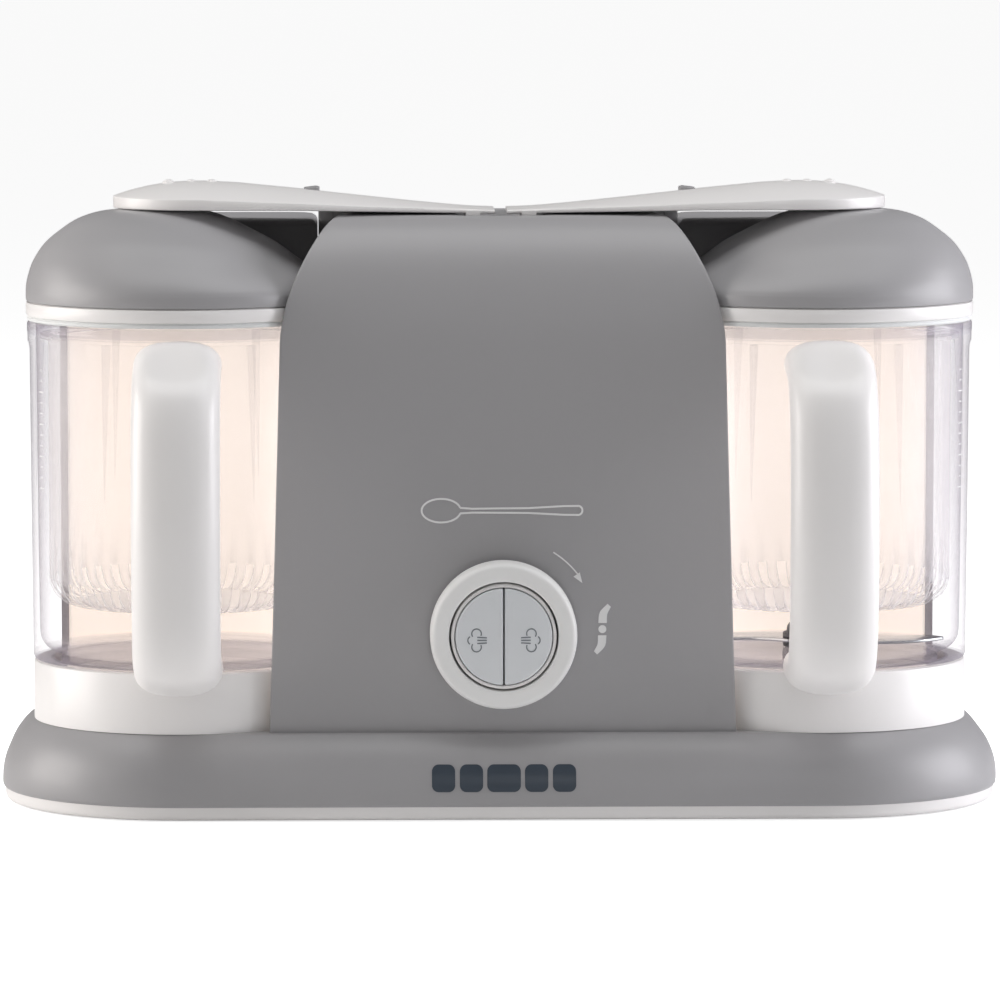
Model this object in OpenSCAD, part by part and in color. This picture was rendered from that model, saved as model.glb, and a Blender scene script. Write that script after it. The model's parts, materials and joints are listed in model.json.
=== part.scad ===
// Two-bowl baby food maker: a steaming and blending bowl on the right, a steaming bowl on the left.
// Millimetres, +Z up, the front faces -Y. The origin is under the middle of the whole machine, on
// the surface that it stands on. Lengths in Y below are measured from the row of the bowl axes.

/* [Base] */
// Distance between the two bowl axes
bowl_spacing = 251.2; // [246:0.2:262]
// Radius of the rounded ends of the base, round the bowl axes
end_r = 72; // [71:0.5:76]
// Distance from the bowl axes to the back of the base
base_rear = 97; // [96:1:104]
// Radius of the two rear corners of the base
rear_corner_r = 65; // [50:1:68]
// Height of the top face of the base
base_top = 33; // [32:0.5:36]
// Height of the line where the grey base meets the white tray
tray_top = 6.1; // [5:0.1:7]
// How far the rubber feet hold the tray off the table
foot_h = 0.7; // [0.5:0.1:3]

/* [Bowls] */
// Outer radius of a bowl at its rim band
bowl_r = 60.3; // [59.5:0.1:60.5]
// Thickness of the bowl's wall
bowl_wall = 2.8; // [2:0.1:3]
// Height of the bowl's rim
bowl_rim = 190.2; // [186:0.2:190.4]
// Outer radius of the white collar that a bowl locks on
collar_r = 59.3; // [59:0.1:59.6]
// Height of the collar's top edge
collar_top = 56.5; // [54:0.1:56.6]
// Height of the steaming basket's floor
basket_floor = 78; // [77:0.5:90]
// Number of steam slots round the foot of a basket
basket_slots = 40; // [24:4:48]

/* [Handles] */
// Width of a handle
handle_w = 34; // [28:1:36]
// How far the handle's front lies from the bowl axis
handle_reach = 108; // [104:1:112]

/* [Housing] */
// Height of the top of the central housing
housing_top = 232.6; // [231:0.2:232.8]
// Thickness of the moulded shells
shell_wall = 2.5; // [2:0.1:3]
// Radius of the bays that the bowls stand in
bay_r = 64; // [63.5:0.1:65]
// How far out the water tanks' housing reaches on each side
pillar_x = 176; // [170:1:180]

/* [Lids] */
// Angle that a lid opens to
lid_open = 75; // [45:1:80]
// Outer radius of the white band under a dome
band_r = 61.6; // [61:0.1:62]
// Height of the top of a dome
dome_top = 234.5; // [234.2:0.1:235]
// Height of the crest of a lid arm
arm_crest = 244.8; // [242:0.2:246]

/* [Knob] */
// Height of the knob's centre
knob_z = 72; // [66:0.5:78]
// Outer radius of the turning ring
knob_r = 28.5; // [26:0.5:31]
// Radius of the pair of steam buttons
button_r = 18.75; // [17:0.25:18.75]

/* [Drive] */
// Working radius of the pulley on the motor
motor_pulley_r = 10; // [8:1:12]
// Working radius of the pulley under the right bowl
drive_pulley_r = 20; // [16:1:24]
// Radius of the blades' tips
blade_r = 51; // [40:1:52]

/* [Hidden] */
$fn = 96;

// Colours of the mouldings
grey = "#8f8f92";
white = "#ebe9e6";
clear = [0.86, 0.86, 0.9, 0.35];

// Distance of the bowl axes behind the middle of the machine, so that the origin is under the middle
row_y = (handle_reach - base_rear) / 2;
bowl_x = bowl_spacing / 2;
half_w = bowl_x + end_r;
rear_corner_x = half_w - rear_corner_r;
rear_corner_y = base_rear - rear_corner_r;

// The base's side: widest a little above the tray, then an arc in to the top face
widest_z = tray_top + 3.4;
top_inset = 12.6;
base_arc = 60;
base_steps = 5;
hull_fn = 48;

// The front of the central housing: a plane that leans back, then a quarter of an ellipse
face_low_y = -54.7;
face_high_y = -51.8;
face_bend_z = 181.5;
nose_depth = 33;
nose_step = 6;
face_lean = atan((face_high_y - face_low_y) / (face_bend_z - base_top));
back_arc_r = 60;
back_y = 95;
housing_split_y = 24;
pillar_top = 193.5;
pillar_corner_r = 14;
upper_half_w = 72;

// The lids' hinge
hinge_x = 11;
hinge_z = housing_top - 4.1;
pin_r = 2;
running_gap = 0.05;
pocket_half_x = 17.5;
pocket_front_y = -21;
pocket_back_y = 17;
pocket_floor = 217.5;

// The bowl's heights
bowl_gap = 0.3;
bowl_foot_z = collar_top + bowl_gap;
bowl_floor_z = bowl_foot_z + 2.7;
rib_top_z = 183.5;
tube_r = 9;
tube_top_z = bowl_floor_z + 6.5;
spindle_r = 4;
spindle_hole_r = 5.5;

// The lid's heights
gasket_z = bowl_rim + 0.4;
band_z = gasket_z + 1.9;
dome_z = band_z + 5.7;
dome_wall = 2.4;
dome_sides = 48;
// Slices of a dome: height over its foot, radius, and how far its middle moves outwards
dome_slices = [
    [0, 61.6, 0], [4.3, 61.6, 0], [6.8, 60.6, 0.8], [10.4, 58, 2.6], [15.9, 52.7, 5.9],
    [22.8, 45.6, 8.3], [28.4, 37, 10.2], [32.3, 29.9, 11.1], [35, 22, 10.9], [36.3, 12, 10.9]
];
cover_x = 72.6;
cover_slope_x = 150;
cover_slope_z = 212;
cover_front_y = 30;
cover_z = 196.5;
cover_top = 228.5;

// The water tank: a slot-shaped can behind each bowl
tank_x0 = 88;
tank_x1 = 157;
tank_y = 80.5;
tank_r = 10.5;
tank_z = 100;
tank_wall = 1;

// The arm: a leaf with a crest, wide over the dome and narrow at the hinge
arm_round_r = 35;
arm_round_x = 118;
arm_mid_y = 10;
arm_edge_h = 4.3;
arm_inner_x = 2.5;
release_x = 71.3;

// The knob stands on the leaning face
knob_y = face_low_y + (knob_z - base_top) * tan(face_lean);
ring_front = 15;
sleeve_r = 23.9;
bezel_r = 20.4;
spring_x = 9;

// The drive
belt_z = 14;
belt_h = 5;
belt_t = 1.5;
motor_r = 29;

module place() translate([0, row_y, 0]) children();

// Builds on the right, or mirrored to the left when side is -1
module sided(side) {
    if (side < 0)
        mirror([1, 0, 0]) place() children();
    else
        place() children();
}

module at_bowl(side) sided(side) translate([bowl_x, 0, 0]) children();

module span(x0, x1, y0, y1) translate([x0, y0]) square([x1 - x0, y1 - y0]);

module box(x0, x1, y0, y1, z0, z1) translate([x0, y0, z0]) cube([x1 - x0, y1 - y0, z1 - z0]);

module tube(r_out, r_in, z0, z1) {
    difference() {
        translate([0, 0, z0]) cylinder(r = r_out, h = z1 - z0);
        translate([0, 0, z0 - 1]) cylinder(r = r_in, h = z1 - z0 + 2);
    }
}

// Turns a side view drawn in (Y, Z) into a solid across X
module across(width) rotate([90, 0, 90]) linear_extrude(width, center = true) children();

// ---------------------------------------------------------------- base

module base_plan(inset) {
    span(-rear_corner_x, rear_corner_x, 0, base_rear - inset);
    span(-bowl_x, bowl_x, inset - end_r, base_rear - inset);
    span(inset - half_w, half_w - inset, 0, rear_corner_y);
    for (side = [-1, 1]) {
        translate([side * bowl_x, 0]) circle(r = end_r - inset, $fn = hull_fn);
        translate([side * rear_corner_x, rear_corner_y])
            circle(r = rear_corner_r - inset, $fn = hull_fn);
    }
}

module base_slab(z, inset, h = 0.1) translate([0, 0, z]) linear_extrude(h) base_plan(inset);

// How far the base's side has come in at a step of its arc
function arc_z(i) = sin(base_arc * i / base_steps) / sin(base_arc);
function arc_in(i) = (1 - cos(base_arc * i / base_steps)) / (1 - cos(base_arc));

module base_form(shrink) {
    hull() {
        base_slab(tray_top, shrink + 0.4);
        for (i = [0 : base_steps])
            base_slab(widest_z + (base_top - widest_z - 0.1 - shrink) * arc_z(i),
                      shrink + top_inset * arc_in(i));
    }
}

module screw_spots()
    for (spot = [[-174, -26], [174, -26], [-62, -58], [62, -58], [-112, 83], [112, 83]])
        translate(spot) children();

module foot_spots()
    for (spot = [[-158, -38], [158, -38], [0, -56], [-150, 72], [150, 72], [0, 80]])
        translate(spot) children();

module base_shell() {
    boss_r = 4.5;
    color(grey) place() difference() {
        base_form(0);
        difference() {
            base_form(shell_wall);
            screw_spots() translate([0, 0, 8]) cylinder(r = boss_r, h = base_top);
        }
        translate([0, 0, tray_top - 1]) linear_extrude(1.3) base_plan(shell_wall + 0.4);
        screw_spots() translate([0, 0, 5]) cylinder(r = 1.6, h = 22);
        translate([bowl_x, 0, base_top - 10]) cylinder(r = 8.05, h = 12);
        translate([0, 0, base_top - 10]) cylinder(r = 14, h = 12);
    }
}

module base_tray() {
    color(white) place() difference() {
        hull() {
            base_slab(foot_h, 2.6);
            base_slab(foot_h + 0.9, 1.2);
            base_slab(tray_top - 0.1, 0.9);
        }
        translate([0, 0, foot_h + 2.5]) linear_extrude(tray_top) base_plan(6);
        foot_spots() translate([0, 0, foot_h - 1]) cylinder(r = 9.05, h = 2.5);
        screw_spots() cylinder(r = 1.9, h = 10);
        screw_spots() cylinder(r = 4, h = foot_h + 1.4);
    }
}

module rubber_feet()
    color("#3a3a3c") place() foot_spots() rotate_extrude()
        polygon([[0, 0], [7.6, 0], [8.6, foot_h / 2], [9, foot_h], [9, foot_h + 1.4], [0, foot_h + 1.4]]);

module base_screws()
    color("#b9bbbd") place() screw_spots() {
        translate([0, 0, foot_h + 0.1]) cylinder(r = 3.6, h = 1.3);
        translate([0, 0, foot_h + 1.3]) cylinder(r = 1.55, h = 17);
    }

// A slate-coloured bar let into the front of the base
module base_inlay() {
    rows = [for (i = [2 : 0.5 : 5]) [arc_in(i) * top_inset - end_r,
                                     widest_z + (base_top - widest_z) * arc_z(i)]];
    count = len(rows);
    color("#3c4450") place() across(57) polygon(concat(
        [for (p = rows) [p[0] - 0.5, p[1]]],
        [for (i = [count - 1 : -1 : 0]) [rows[i][0] - 0.1, rows[i][1]]]));
}

// ---------------------------------------------------------------- housing

function nose(inset) = [
    for (a = [0 : nose_step : 90])
        [face_high_y + nose_depth - (nose_depth - inset) * cos(a),
         face_bend_z + (housing_top - face_bend_z - inset) * sin(a)]
];

module front_side_view(inset, back, low)
    polygon(concat([[back, low], [face_low_y + inset, low]], nose(inset),
                   [[back, housing_top - inset]]));

module front_plan(inset) {
    difference() {
        span(-bowl_x, bowl_x, -end_r, base_rear);
        for (side = [-1, 1])
            translate([side * bowl_x, 0]) circle(r = bay_r + inset);
    }
}

module front_form(inset, back, low) {
    intersection() {
        translate([0, 0, low]) linear_extrude(housing_top) front_plan(inset);
        across(2 * bowl_x) front_side_view(inset, back, low);
    }
}

module front_housing() {
    rim = 2.5;
    color(grey) place() difference() {
        union() {
            difference() {
                front_form(0, housing_split_y, base_top);
                front_form(shell_wall, housing_split_y + 1, base_top - 1);
            }
            intersection() {
                front_form(0, housing_split_y, base_top);
                box(-pocket_half_x - rim, pocket_half_x + rim, pocket_front_y - rim,
                    pocket_back_y + rim, pocket_floor - rim, housing_top + 1);
            }
        }
        box(-pocket_half_x, pocket_half_x, pocket_front_y, pocket_back_y, pocket_floor,
            housing_top + 1);
        for (side = [-1, 1])
            translate([side * hinge_x, pocket_back_y + rim + 1, hinge_z]) rotate([90, 0, 0])
                cylinder(r = pin_r + 0.01, h = pocket_back_y - pocket_front_y + 2 * rim + 2);
        translate([0, knob_y + 10, knob_z]) rotate([90, 0, 0]) cylinder(r = sleeve_r + 0.1, h = 20);
    }
}

module rear_plan(inset, reach) {
    difference() {
        union() {
            span(-reach + inset, reach - inset, housing_split_y, back_y - inset - pillar_corner_r);
            span(-reach + pillar_corner_r, reach - pillar_corner_r, housing_split_y, back_y - inset);
            for (side = [-1, 1])
                translate([side * (reach - pillar_corner_r), back_y - pillar_corner_r])
                    circle(r = pillar_corner_r - inset);
        }
        for (side = [-1, 1])
            translate([side * bowl_x, 0]) circle(r = bay_r + inset);
    }
}

module rear_side_view(inset) {
    start = housing_split_y - inset;
    arc_y = back_y - back_arc_r;
    arc_mid_z = housing_top - back_arc_r;
    polygon(concat(
        [[start, base_top - inset], [start, housing_top - inset]],
        [for (a = [90 : -nose_step : 0])
            [arc_y + (back_arc_r - inset) * cos(a), arc_mid_z + (back_arc_r - inset) * sin(a)]],
        [[back_y - inset, base_top - inset]]));
}

module rear_form(inset) {
    union() {
        translate([0, 0, base_top - inset]) linear_extrude(pillar_top - base_top)
            rear_plan(inset, pillar_x);
        intersection() {
            translate([0, 0, base_top - inset]) linear_extrude(housing_top)
                rear_plan(inset, upper_half_w);
            across(2 * bowl_x) rear_side_view(inset);
        }
    }
}

module tank_plan(r) {
    span(tank_x0, tank_x1, tank_y - r, tank_y + r);
    for (x = [tank_x0, tank_x1])
        translate([x, tank_y]) circle(r = r);
}

module rear_housing() {
    vent_count = 9;
    vent_pitch = 8;
    color(grey) place() difference() {
        rear_form(0);
        difference() {
            rear_form(shell_wall);
            box(-bowl_spacing, bowl_spacing, housing_split_y - 10, housing_split_y - 0.01, 0, 300);
        }
        box(-upper_half_w + 8, upper_half_w - 8, housing_split_y - 1, housing_split_y + 1,
            base_top - 1, housing_top - 10);
        for (side = [-1, 1])
            translate([0, 0, pillar_top - 5]) linear_extrude(8) mirror([side < 0 ? 1 : 0, 0])
                tank_plan(tank_r + 0.1);
        for (i = [0 : vent_count - 1])
            box(-30, 30, back_y - 6, back_y + 1, 60 + i * vent_pitch, 63 + i * vent_pitch);
        translate([60, back_y - 6, 48]) rotate([-90, 0, 0]) cylinder(r = 5, h = 10);
    }
}

module cable_gland()
    color("#8a8a8d") place() translate([60, back_y, 48]) rotate([-90, 0, 0]) difference() {
        union() {
            cylinder(r = 7.5, h = base_rear - back_y);
            translate([0, 0, -6]) cylinder(r = 4.95, h = 7);
        }
        translate([0, 0, -7]) cylinder(r = 3.6, h = 12);
    }

// The white wall behind a bowl: a thin sleeve on the bay, open towards the front
module bay_wall(side) {
    thick = 1.2;
    a0 = 42;
    a1 = 228;
    far = 2 * bay_r;
    color(white) at_bowl(side) intersection() {
        tube(bay_r - 0.05, bay_r - thick, base_top, bowl_rim - 0.4);
        linear_extrude(bowl_rim) polygon(concat([[0, 0]],
            [for (i = [0 : 4]) far * [cos(a0 + (a1 - a0) * i / 4), sin(a0 + (a1 - a0) * i / 4)]]));
    }
}

module collar(side) {
    inner_r = collar_r - 4;
    deck_z = 44;
    color(white) at_bowl(side) {
        tube(collar_r, inner_r, base_top, collar_top);
        tube(inner_r + 1, 8.05, deck_z, deck_z + 3);
        intersection() {
            tube(inner_r + 1, inner_r - 2.8, collar_top - 2.2, collar_top);
            lug_sectors(30);
        }
    }
}

// Three sectors, one at each bayonet lug
module lug_sectors(width) {
    far = 80;
    for (i = [0 : 2])
        rotate(i * 120 + 30) linear_extrude(collar_top + 20)
            polygon([[0, 0], far * [cos(width / 2), -sin(width / 2)],
                     far * [cos(width / 2), sin(width / 2)]]);
}

module water_tank(side) {
    color("#b8babc") sided(side) difference() {
        translate([0, 0, tank_z]) linear_extrude(pillar_top - tank_z) tank_plan(tank_r);
        translate([0, 0, tank_z + tank_wall]) linear_extrude(pillar_top)
            tank_plan(tank_r - tank_wall);
    }
}

module heating_elements()
    color("#8d8f92") for (side = [-1, 1]) sided(side) {
        translate([0, 0, tank_z - 5]) linear_extrude(5) tank_plan(tank_r - 2);
        for (x = [tank_x0, tank_x1])
            translate([x, tank_y, tank_z - 14]) cylinder(r = 1.6, h = 10);
    }

module thermostats()
    color("#2d2d30") for (side = [-1, 1]) sided(side)
        translate([(tank_x0 + tank_x1) / 2, tank_y, tank_z - 13]) {
            cylinder(r = 8, h = 8);
            translate([0, 0, -5]) cylinder(r = 5, h = 6);
        }

// ---------------------------------------------------------------- drive

module motor_body()
    color("#6f7174") place() difference() {
        union() {
            translate([0, 0, 62]) cylinder(r = motor_r, h = 60);
            translate([0, 0, 120]) cylinder(r = 12, h = 8);
        }
        cylinder(r = spindle_r + 0.3, h = 200);
    }

module motor_bracket()
    color("#a9abad") place() difference() {
        union() {
            box(-44, 44, -30, 20, 58, 62);
            for (x = [-40, 40], y = [-26, 16])
                translate([x, y, base_top]) cylinder(r = 4, h = 26);
        }
        cylinder(r = 9, h = 100);
    }

module motor_rotor() {
    fan_blades = 8;
    color("#c9cbcd") place() {
        translate([0, 0, 11]) cylinder(r = spindle_r, h = 129);
        translate([0, 0, 130]) cylinder(r = 9, h = 8);
        for (i = [0 : fan_blades - 1])
            rotate(i * 360 / fan_blades) box(7, 25, -0.8, 0.8, 130.5, 137.5);
    }
}

// A flat-belt pulley with two flanges
module pulley(r) {
    difference() {
        union() {
            translate([0, 0, belt_z - 2]) cylinder(r = r + 2.5, h = 1.5);
            translate([0, 0, belt_z - 1]) cylinder(r = r, h = belt_h + 2);
            translate([0, 0, belt_z + belt_h + 0.5]) cylinder(r = r + 2.5, h = 1.5);
        }
        cylinder(r = spindle_r + 0.01, h = 60);
    }
}

module motor_pulley() color("#3b3b3e") place() pulley(motor_pulley_r);

module drive_pulley() color("#3b3b3e") place() translate([bowl_x, 0, 0]) pulley(drive_pulley_r);

// The outline of a belt round both pulleys, which stands off them by grow
module belt_plan(grow)
    hull() {
        circle(r = motor_pulley_r + grow);
        translate([bowl_x, 0]) circle(r = drive_pulley_r + grow);
    }

module drive_belt()
    color("#1f1f22") place() translate([0, 0, belt_z]) linear_extrude(belt_h) difference() {
        belt_plan(belt_t);
        belt_plan(running_gap);
    }

module drive_spindle()
    color("#c9cbcd") place() translate([bowl_x, 0, 10]) cylinder(r = spindle_r, h = 62);

module spindle_bearings()
    color("#b08d57") place() translate([bowl_x, 0, 0]) {
        tube(8, spindle_r + running_gap, 26, base_top + 3);
        tube(8, spindle_r + running_gap, 42, 49);
    }

module blade_hub() {
    cap_r = 13;
    low = bowl_floor_z + 0.5;
    color("#26262a") place() translate([bowl_x, 0, 0]) rotate_extrude() polygon([
        [spindle_r + 0.01, low + 7.5], [tube_r + 0.6, low + 7.5], [tube_r + 0.6, low],
        [cap_r, low], [cap_r, low + 2.4], [11.6, low + 2.4], [11.4, low + 7.8],
        [9.2, low + 11], [6.6, low + 14.6], [5, low + 15], [0, low + 15],
        [0, 72.02], [spindle_r + 0.01, 72.02]]);
}

// One swept blade: the part of a ring that lies inside a second circle
module blade_shape() {
    difference() {
        intersection() {
            translate([24, 17]) circle(r = 33);
            translate([26, -17]) circle(r = 30);
        }
        translate([30, 28]) circle(r = 26);
    }
}

module blades() {
    low = bowl_floor_z + 2.92;
    color("#d3d5d7") place() translate([bowl_x, 0, low]) linear_extrude(1.2) difference() {
        union() {
            circle(r = 14.5);
            intersection() {
                circle(r = blade_r);
                for (turn = [0, 180]) rotate(turn) blade_shape();
            }
        }
        circle(r = 11.65);
    }
}

module blade_nut()
    color("#26262a") place() translate([bowl_x, 0, 0])
        tube(13, 11.65, bowl_floor_z + 4.15, bowl_floor_z + 6);

// ---------------------------------------------------------------- controls

// A helix of wire from z = 0 to z = h
module coil(r, wire, turns, h) {
    rings = 9 * turns;
    sides = 6;
    pts = [for (i = [0 : rings], j = [0 : sides - 1])
        let (a = 360 * turns * i / rings, b = 360 * j / sides, q = r + wire * cos(b))
            [q * cos(a), q * sin(a), wire + (h - 2 * wire) * i / rings + wire * sin(b)]];
    sides_f = [for (i = [0 : rings - 1], j = [0 : sides - 1])
        let (k = (j + 1) % sides)
            [i * sides + j, (i + 1) * sides + j, (i + 1) * sides + k, i * sides + k]];
    caps = [[for (j = [0 : sides - 1]) j], [for (j = [sides - 1 : -1 : 0]) rings * sides + j]];
    polyhedron(pts, concat(sides_f, caps));
}

// Builds with +Z out of the front face at the knob's centre
module at_knob() place() translate([0, knob_y, knob_z]) rotate([90, 0, 0]) children();

module knob_ring()
    color("#dcdcda") at_knob() rotate_extrude() polygon([
        [bezel_r + 0.6, -8], [sleeve_r, -8], [sleeve_r, 1], [knob_r - 0.5, 1], [knob_r, 1.5],
        [knob_r, ring_front - 7], [knob_r - 0.6, ring_front - 4], [knob_r - 2, ring_front - 1.6],
        [knob_r - 4, ring_front - 0.4], [knob_r - 5.5, ring_front],
        [bezel_r + 1.6, ring_front - 0.3], [bezel_r + 0.6, ring_front - 1.2]]);

module knob_bezel()
    color(white) at_knob() difference() {
        translate([0, 0, -12]) cylinder(r = bezel_r, h = ring_front + 11.5);
        translate([0, 0, -10]) cylinder(r = button_r + 0.35, h = 40);
    }

module steam_button(side)
    color("#c6cacd") at_knob() intersection() {
        union() {
            translate([0, 0, 4]) cylinder(r = button_r, h = ring_front - 4);
            translate([0, 0, ring_front - 0.1]) cylinder(r1 = button_r, r2 = button_r - 0.8, h = 0.7);
        }
        box(side < 0 ? -40 : 0.25, side < 0 ? -0.25 : 40, -40, 40, 0, 30);
    }

module button_spring(side)
    color("#b5b7b9") at_knob() translate([side * spring_x, 0, -9.9]) coil(3.4, 0.4, 5, 13.8);

module rotary_switch()
    color("#2d2d30") at_knob() {
        box(-14, 14, -13, 13, -20, -12.05);
        for (i = [-1 : 1])
            box(-10 + 8 * i + 8, -6 + 8 * i + 8, -16, -13, -18, -17.2);
    }

module control_board()
    color("#2f6b45") place() {
        box(-40, 40, -38, -36.4, 112, 186);
        box(-30, -10, -36.4, -24, 140, 156);
        translate([20, -36.4, 160]) rotate([-90, 0, 0]) cylinder(r = 8, h = 18);
        box(2, 30, -36.4, -28, 136, 146);
    }

// ---------------------------------------------------------------- bowls

module bowl_rib() {
    half_t = 1;
    outer = bowl_r - 1.8;
    inner = bowl_r - 6.6;
    rotate([90, 0, 0]) translate([0, 0, -half_t]) linear_extrude(2 * half_t) polygon([
        [outer, 120], [outer, rib_top_z], [inner, rib_top_z], [inner + 0.8, 168],
        [outer - 1, 123.5]]);
}

module bowl(side) {
    in_r = bowl_r - bowl_wall;
    color(clear) at_bowl(side) {
        rotate_extrude() polygon([
            [spindle_hole_r, bowl_foot_z], [48.5, bowl_foot_z], [48.5, bowl_foot_z - 6.6],
            [51.5, bowl_foot_z - 6.6], [51.5, bowl_foot_z], [bowl_r - 1.2, bowl_foot_z],
            [bowl_r - 0.7, bowl_foot_z + 0.5], [bowl_r, 182.5], [bowl_r + 0.7, 183],
            [bowl_r + 0.7, 186.5], [bowl_r + 0.9, 186.7], [bowl_r + 0.9, bowl_rim],
            [in_r + 0.3, bowl_rim], [in_r, 182], [in_r - 0.6, bowl_floor_z + 8],
            [in_r - 1.2, bowl_floor_z + 5], [in_r - 2.8, bowl_floor_z + 2],
            [in_r - 5.2, bowl_floor_z + 0.5], [in_r - 7.5, bowl_floor_z],
            [tube_r, bowl_floor_z], [tube_r, tube_top_z], [spindle_hole_r, tube_top_z]]);
        for (i = [0 : 5])
            rotate(i * 60) bowl_rib();
        intersection() {
            tube(54.5, 51, collar_top - 5.2, collar_top - 2.5);
            lug_sectors(25);
        }
    }
}

module handle(side) {
    half = handle_w / 2;
    round_r = half - 3;
    front = -handle_reach;
    color(white) at_bowl(side) difference() {
        intersection() {
            across(handle_w) difference() {
                hull() {
                    translate([-68, 178]) circle(r = 9);
                    translate([front + 16, 165]) circle(r = 12);
                    translate([front + 12, 122]) circle(r = 12);
                    translate([front + 15, 66]) circle(r = 12);
                    translate([-68, 58]) circle(r = 8.5);
                }
                hull() {
                    for (y = [-75, -52], z = [92, 152])
                        translate([y, z]) circle(r = 11);
                }
            }
            linear_extrude(bowl_rim) {
                span(-half, half, front + round_r, -30);
                span(-3, 3, front, -30);
                for (x = [-3, 3])
                    translate([x, front + round_r]) circle(r = round_r);
            }
        }
        rotate_extrude() polygon([[0, 30], [60, 30], [60, 56], [bowl_r + 0.1, 182],
                                  [bowl_r + 1.05, 182.1], [bowl_r + 1.05, 230], [0, 230]]);
        translate([0, front + 19, 194]) sphere(r = 18);
    }
}

module handle_insert(side)
    color("#dedcd9") at_bowl(side) box(-12, 12, -85.95, -84, 96, 148);

module basket(side) {
    r = 53;
    t = 1.4;
    fillet = 10.5;
    color([0.93, 0.93, 0.95, 0.5]) at_bowl(side) difference() {
        rotate_extrude() polygon(concat(
            [[0, basket_floor], [r - fillet, basket_floor]],
            [for (a = [-75 : 15 : 0]) [r - fillet + fillet * cos(a),
                                       basket_floor + fillet + fillet * sin(a)]],
            [[r, 183.7], [r + 3.2, 183.7], [r + 3.2, 185.2], [r - t, 185.2]],
            [for (a = [0 : -15 : -75]) [r - fillet + (fillet - t) * cos(a),
                                        basket_floor + fillet + (fillet - t) * sin(a)]],
            [[r - fillet, basket_floor + t], [0, basket_floor + t]]));
        for (i = [0 : basket_slots - 1])
            rotate(i * 360 / basket_slots) box(38, 60, -1.3, 1.3, basket_floor - 1, basket_floor + 10);
        for (ring = [[12, 4], [24, 8]], i = [0 : ring[1] - 1])
            rotate(i * 360 / ring[1]) translate([ring[0], 0, basket_floor - 1])
                cylinder(r = 2.2, h = 4);
    }
}

module seat_cap()
    color(white) at_bowl(-1) {
        rotate_extrude() polygon([
            [0, tube_top_z + 0.2], [tube_r + 0.3, tube_top_z + 0.2], [tube_r + 0.3, bowl_floor_z],
            [13.5, bowl_floor_z], [13, bowl_floor_z + 1.5], [12, bowl_floor_z + 8],
            [10, bowl_floor_z + 9.5], [0, bowl_floor_z + 10]]);
        intersection() {
            union() {
                tube(20, 17.5, bowl_floor_z, bowl_floor_z + 4.5);
                tube(18, 13.2, bowl_floor_z, bowl_floor_z + 1.2);
            }
            linear_extrude(100) polygon([[0, 0], [60, -10], [60, -60], [10, -60]]);
        }
    }

// ---------------------------------------------------------------- lids

module hinge_pins()
    color("#c9cbcd") place() for (side = [-1, 1])
        translate([side * hinge_x, pocket_back_y + 2.5, hinge_z]) rotate([90, 0, 0])
            cylinder(r = pin_r, h = pocket_back_y - pocket_front_y + 5);

module arm(side) {
    low = dome_top;
    inner_z = housing_top + 0.4;
    knuckle_r = 4;
    knuckle_l = 10;
    slot = 0.3;
    color(white) sided(side) {
        difference() {
            union() {
                hull() {
                    translate([arm_round_x, arm_mid_y, low])
                        cylinder(r = arm_round_r - 0.8, h = arm_edge_h, $fn = 48);
                    translate([arm_round_x, arm_mid_y, low + 1])
                        cylinder(r = arm_round_r, h = arm_edge_h - 2, $fn = 48);
                    translate([arm_round_x, arm_mid_y, low + 1])
                        cylinder(r = 24, h = arm_edge_h + 2.4, $fn = 48);
                    translate([arm_round_x, arm_mid_y, low + 1])
                        cylinder(r = 13, h = arm_crest - low - 1, $fn = 48);
                    box(arm_inner_x, arm_inner_x + 3, -19.4, 13.8, inner_z, inner_z + 1.7);
                    box(arm_inner_x, arm_inner_x + 3, -8, 6, inner_z, inner_z + 2.2);
                }
                for (y = [-20.5, 16.5 - knuckle_l])
                    translate([hinge_x, y + knuckle_l, 0]) {
                        translate([0, 0, hinge_z]) rotate([90, 0, 0])
                            cylinder(r = knuckle_r, h = knuckle_l);
                        box(-3, 3, -knuckle_l, 0, hinge_z, inner_z + 0.8);
                    }
            }
            translate([hinge_x, 40, hinge_z]) rotate([90, 0, 0])
                cylinder(r = pin_r + running_gap, h = 80);
            box(release_x - slot, release_x + 6.3 + slot, 4 - slot, 18 + slot, 220, 260);
            box(bowl_x / 2, 2 * bowl_x, -60, 60, housing_top, low);
        }
        for (x = [-13, -5, 4])
            translate([arm_round_x + 9 + x, arm_mid_y, arm_crest - 1.6]) sphere(r = 2.8, $fn = 32);
    }
}

module release_button(side)
    color(grey) sided(side) translate([0, 11, 0]) across_x_wedge();

// A wedge that stands highest at the end nearer the hinge
module across_x_wedge()
    rotate([90, 0, 0]) linear_extrude(14, center = true)
        polygon([[release_x, 235.6], [release_x + 6.3, 235.6], [release_x + 6.3, 242],
                 [release_x + 1.4, 242.6], [release_x, 242.2]]);

// One ring of a dome's skin, which lies inside the slice's outline by shrink
function dome_ring(slice, shrink) = [
    for (k = [0 : dome_sides - 1])
        let (a = 360 * k / dome_sides, drop = shrink * min(1, slice[0] / 25))
            [bowl_x + slice[2] + (slice[1] - shrink) * cos(a), (slice[1] - shrink) * sin(a),
             dome_z + slice[0] - drop]
];

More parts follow.
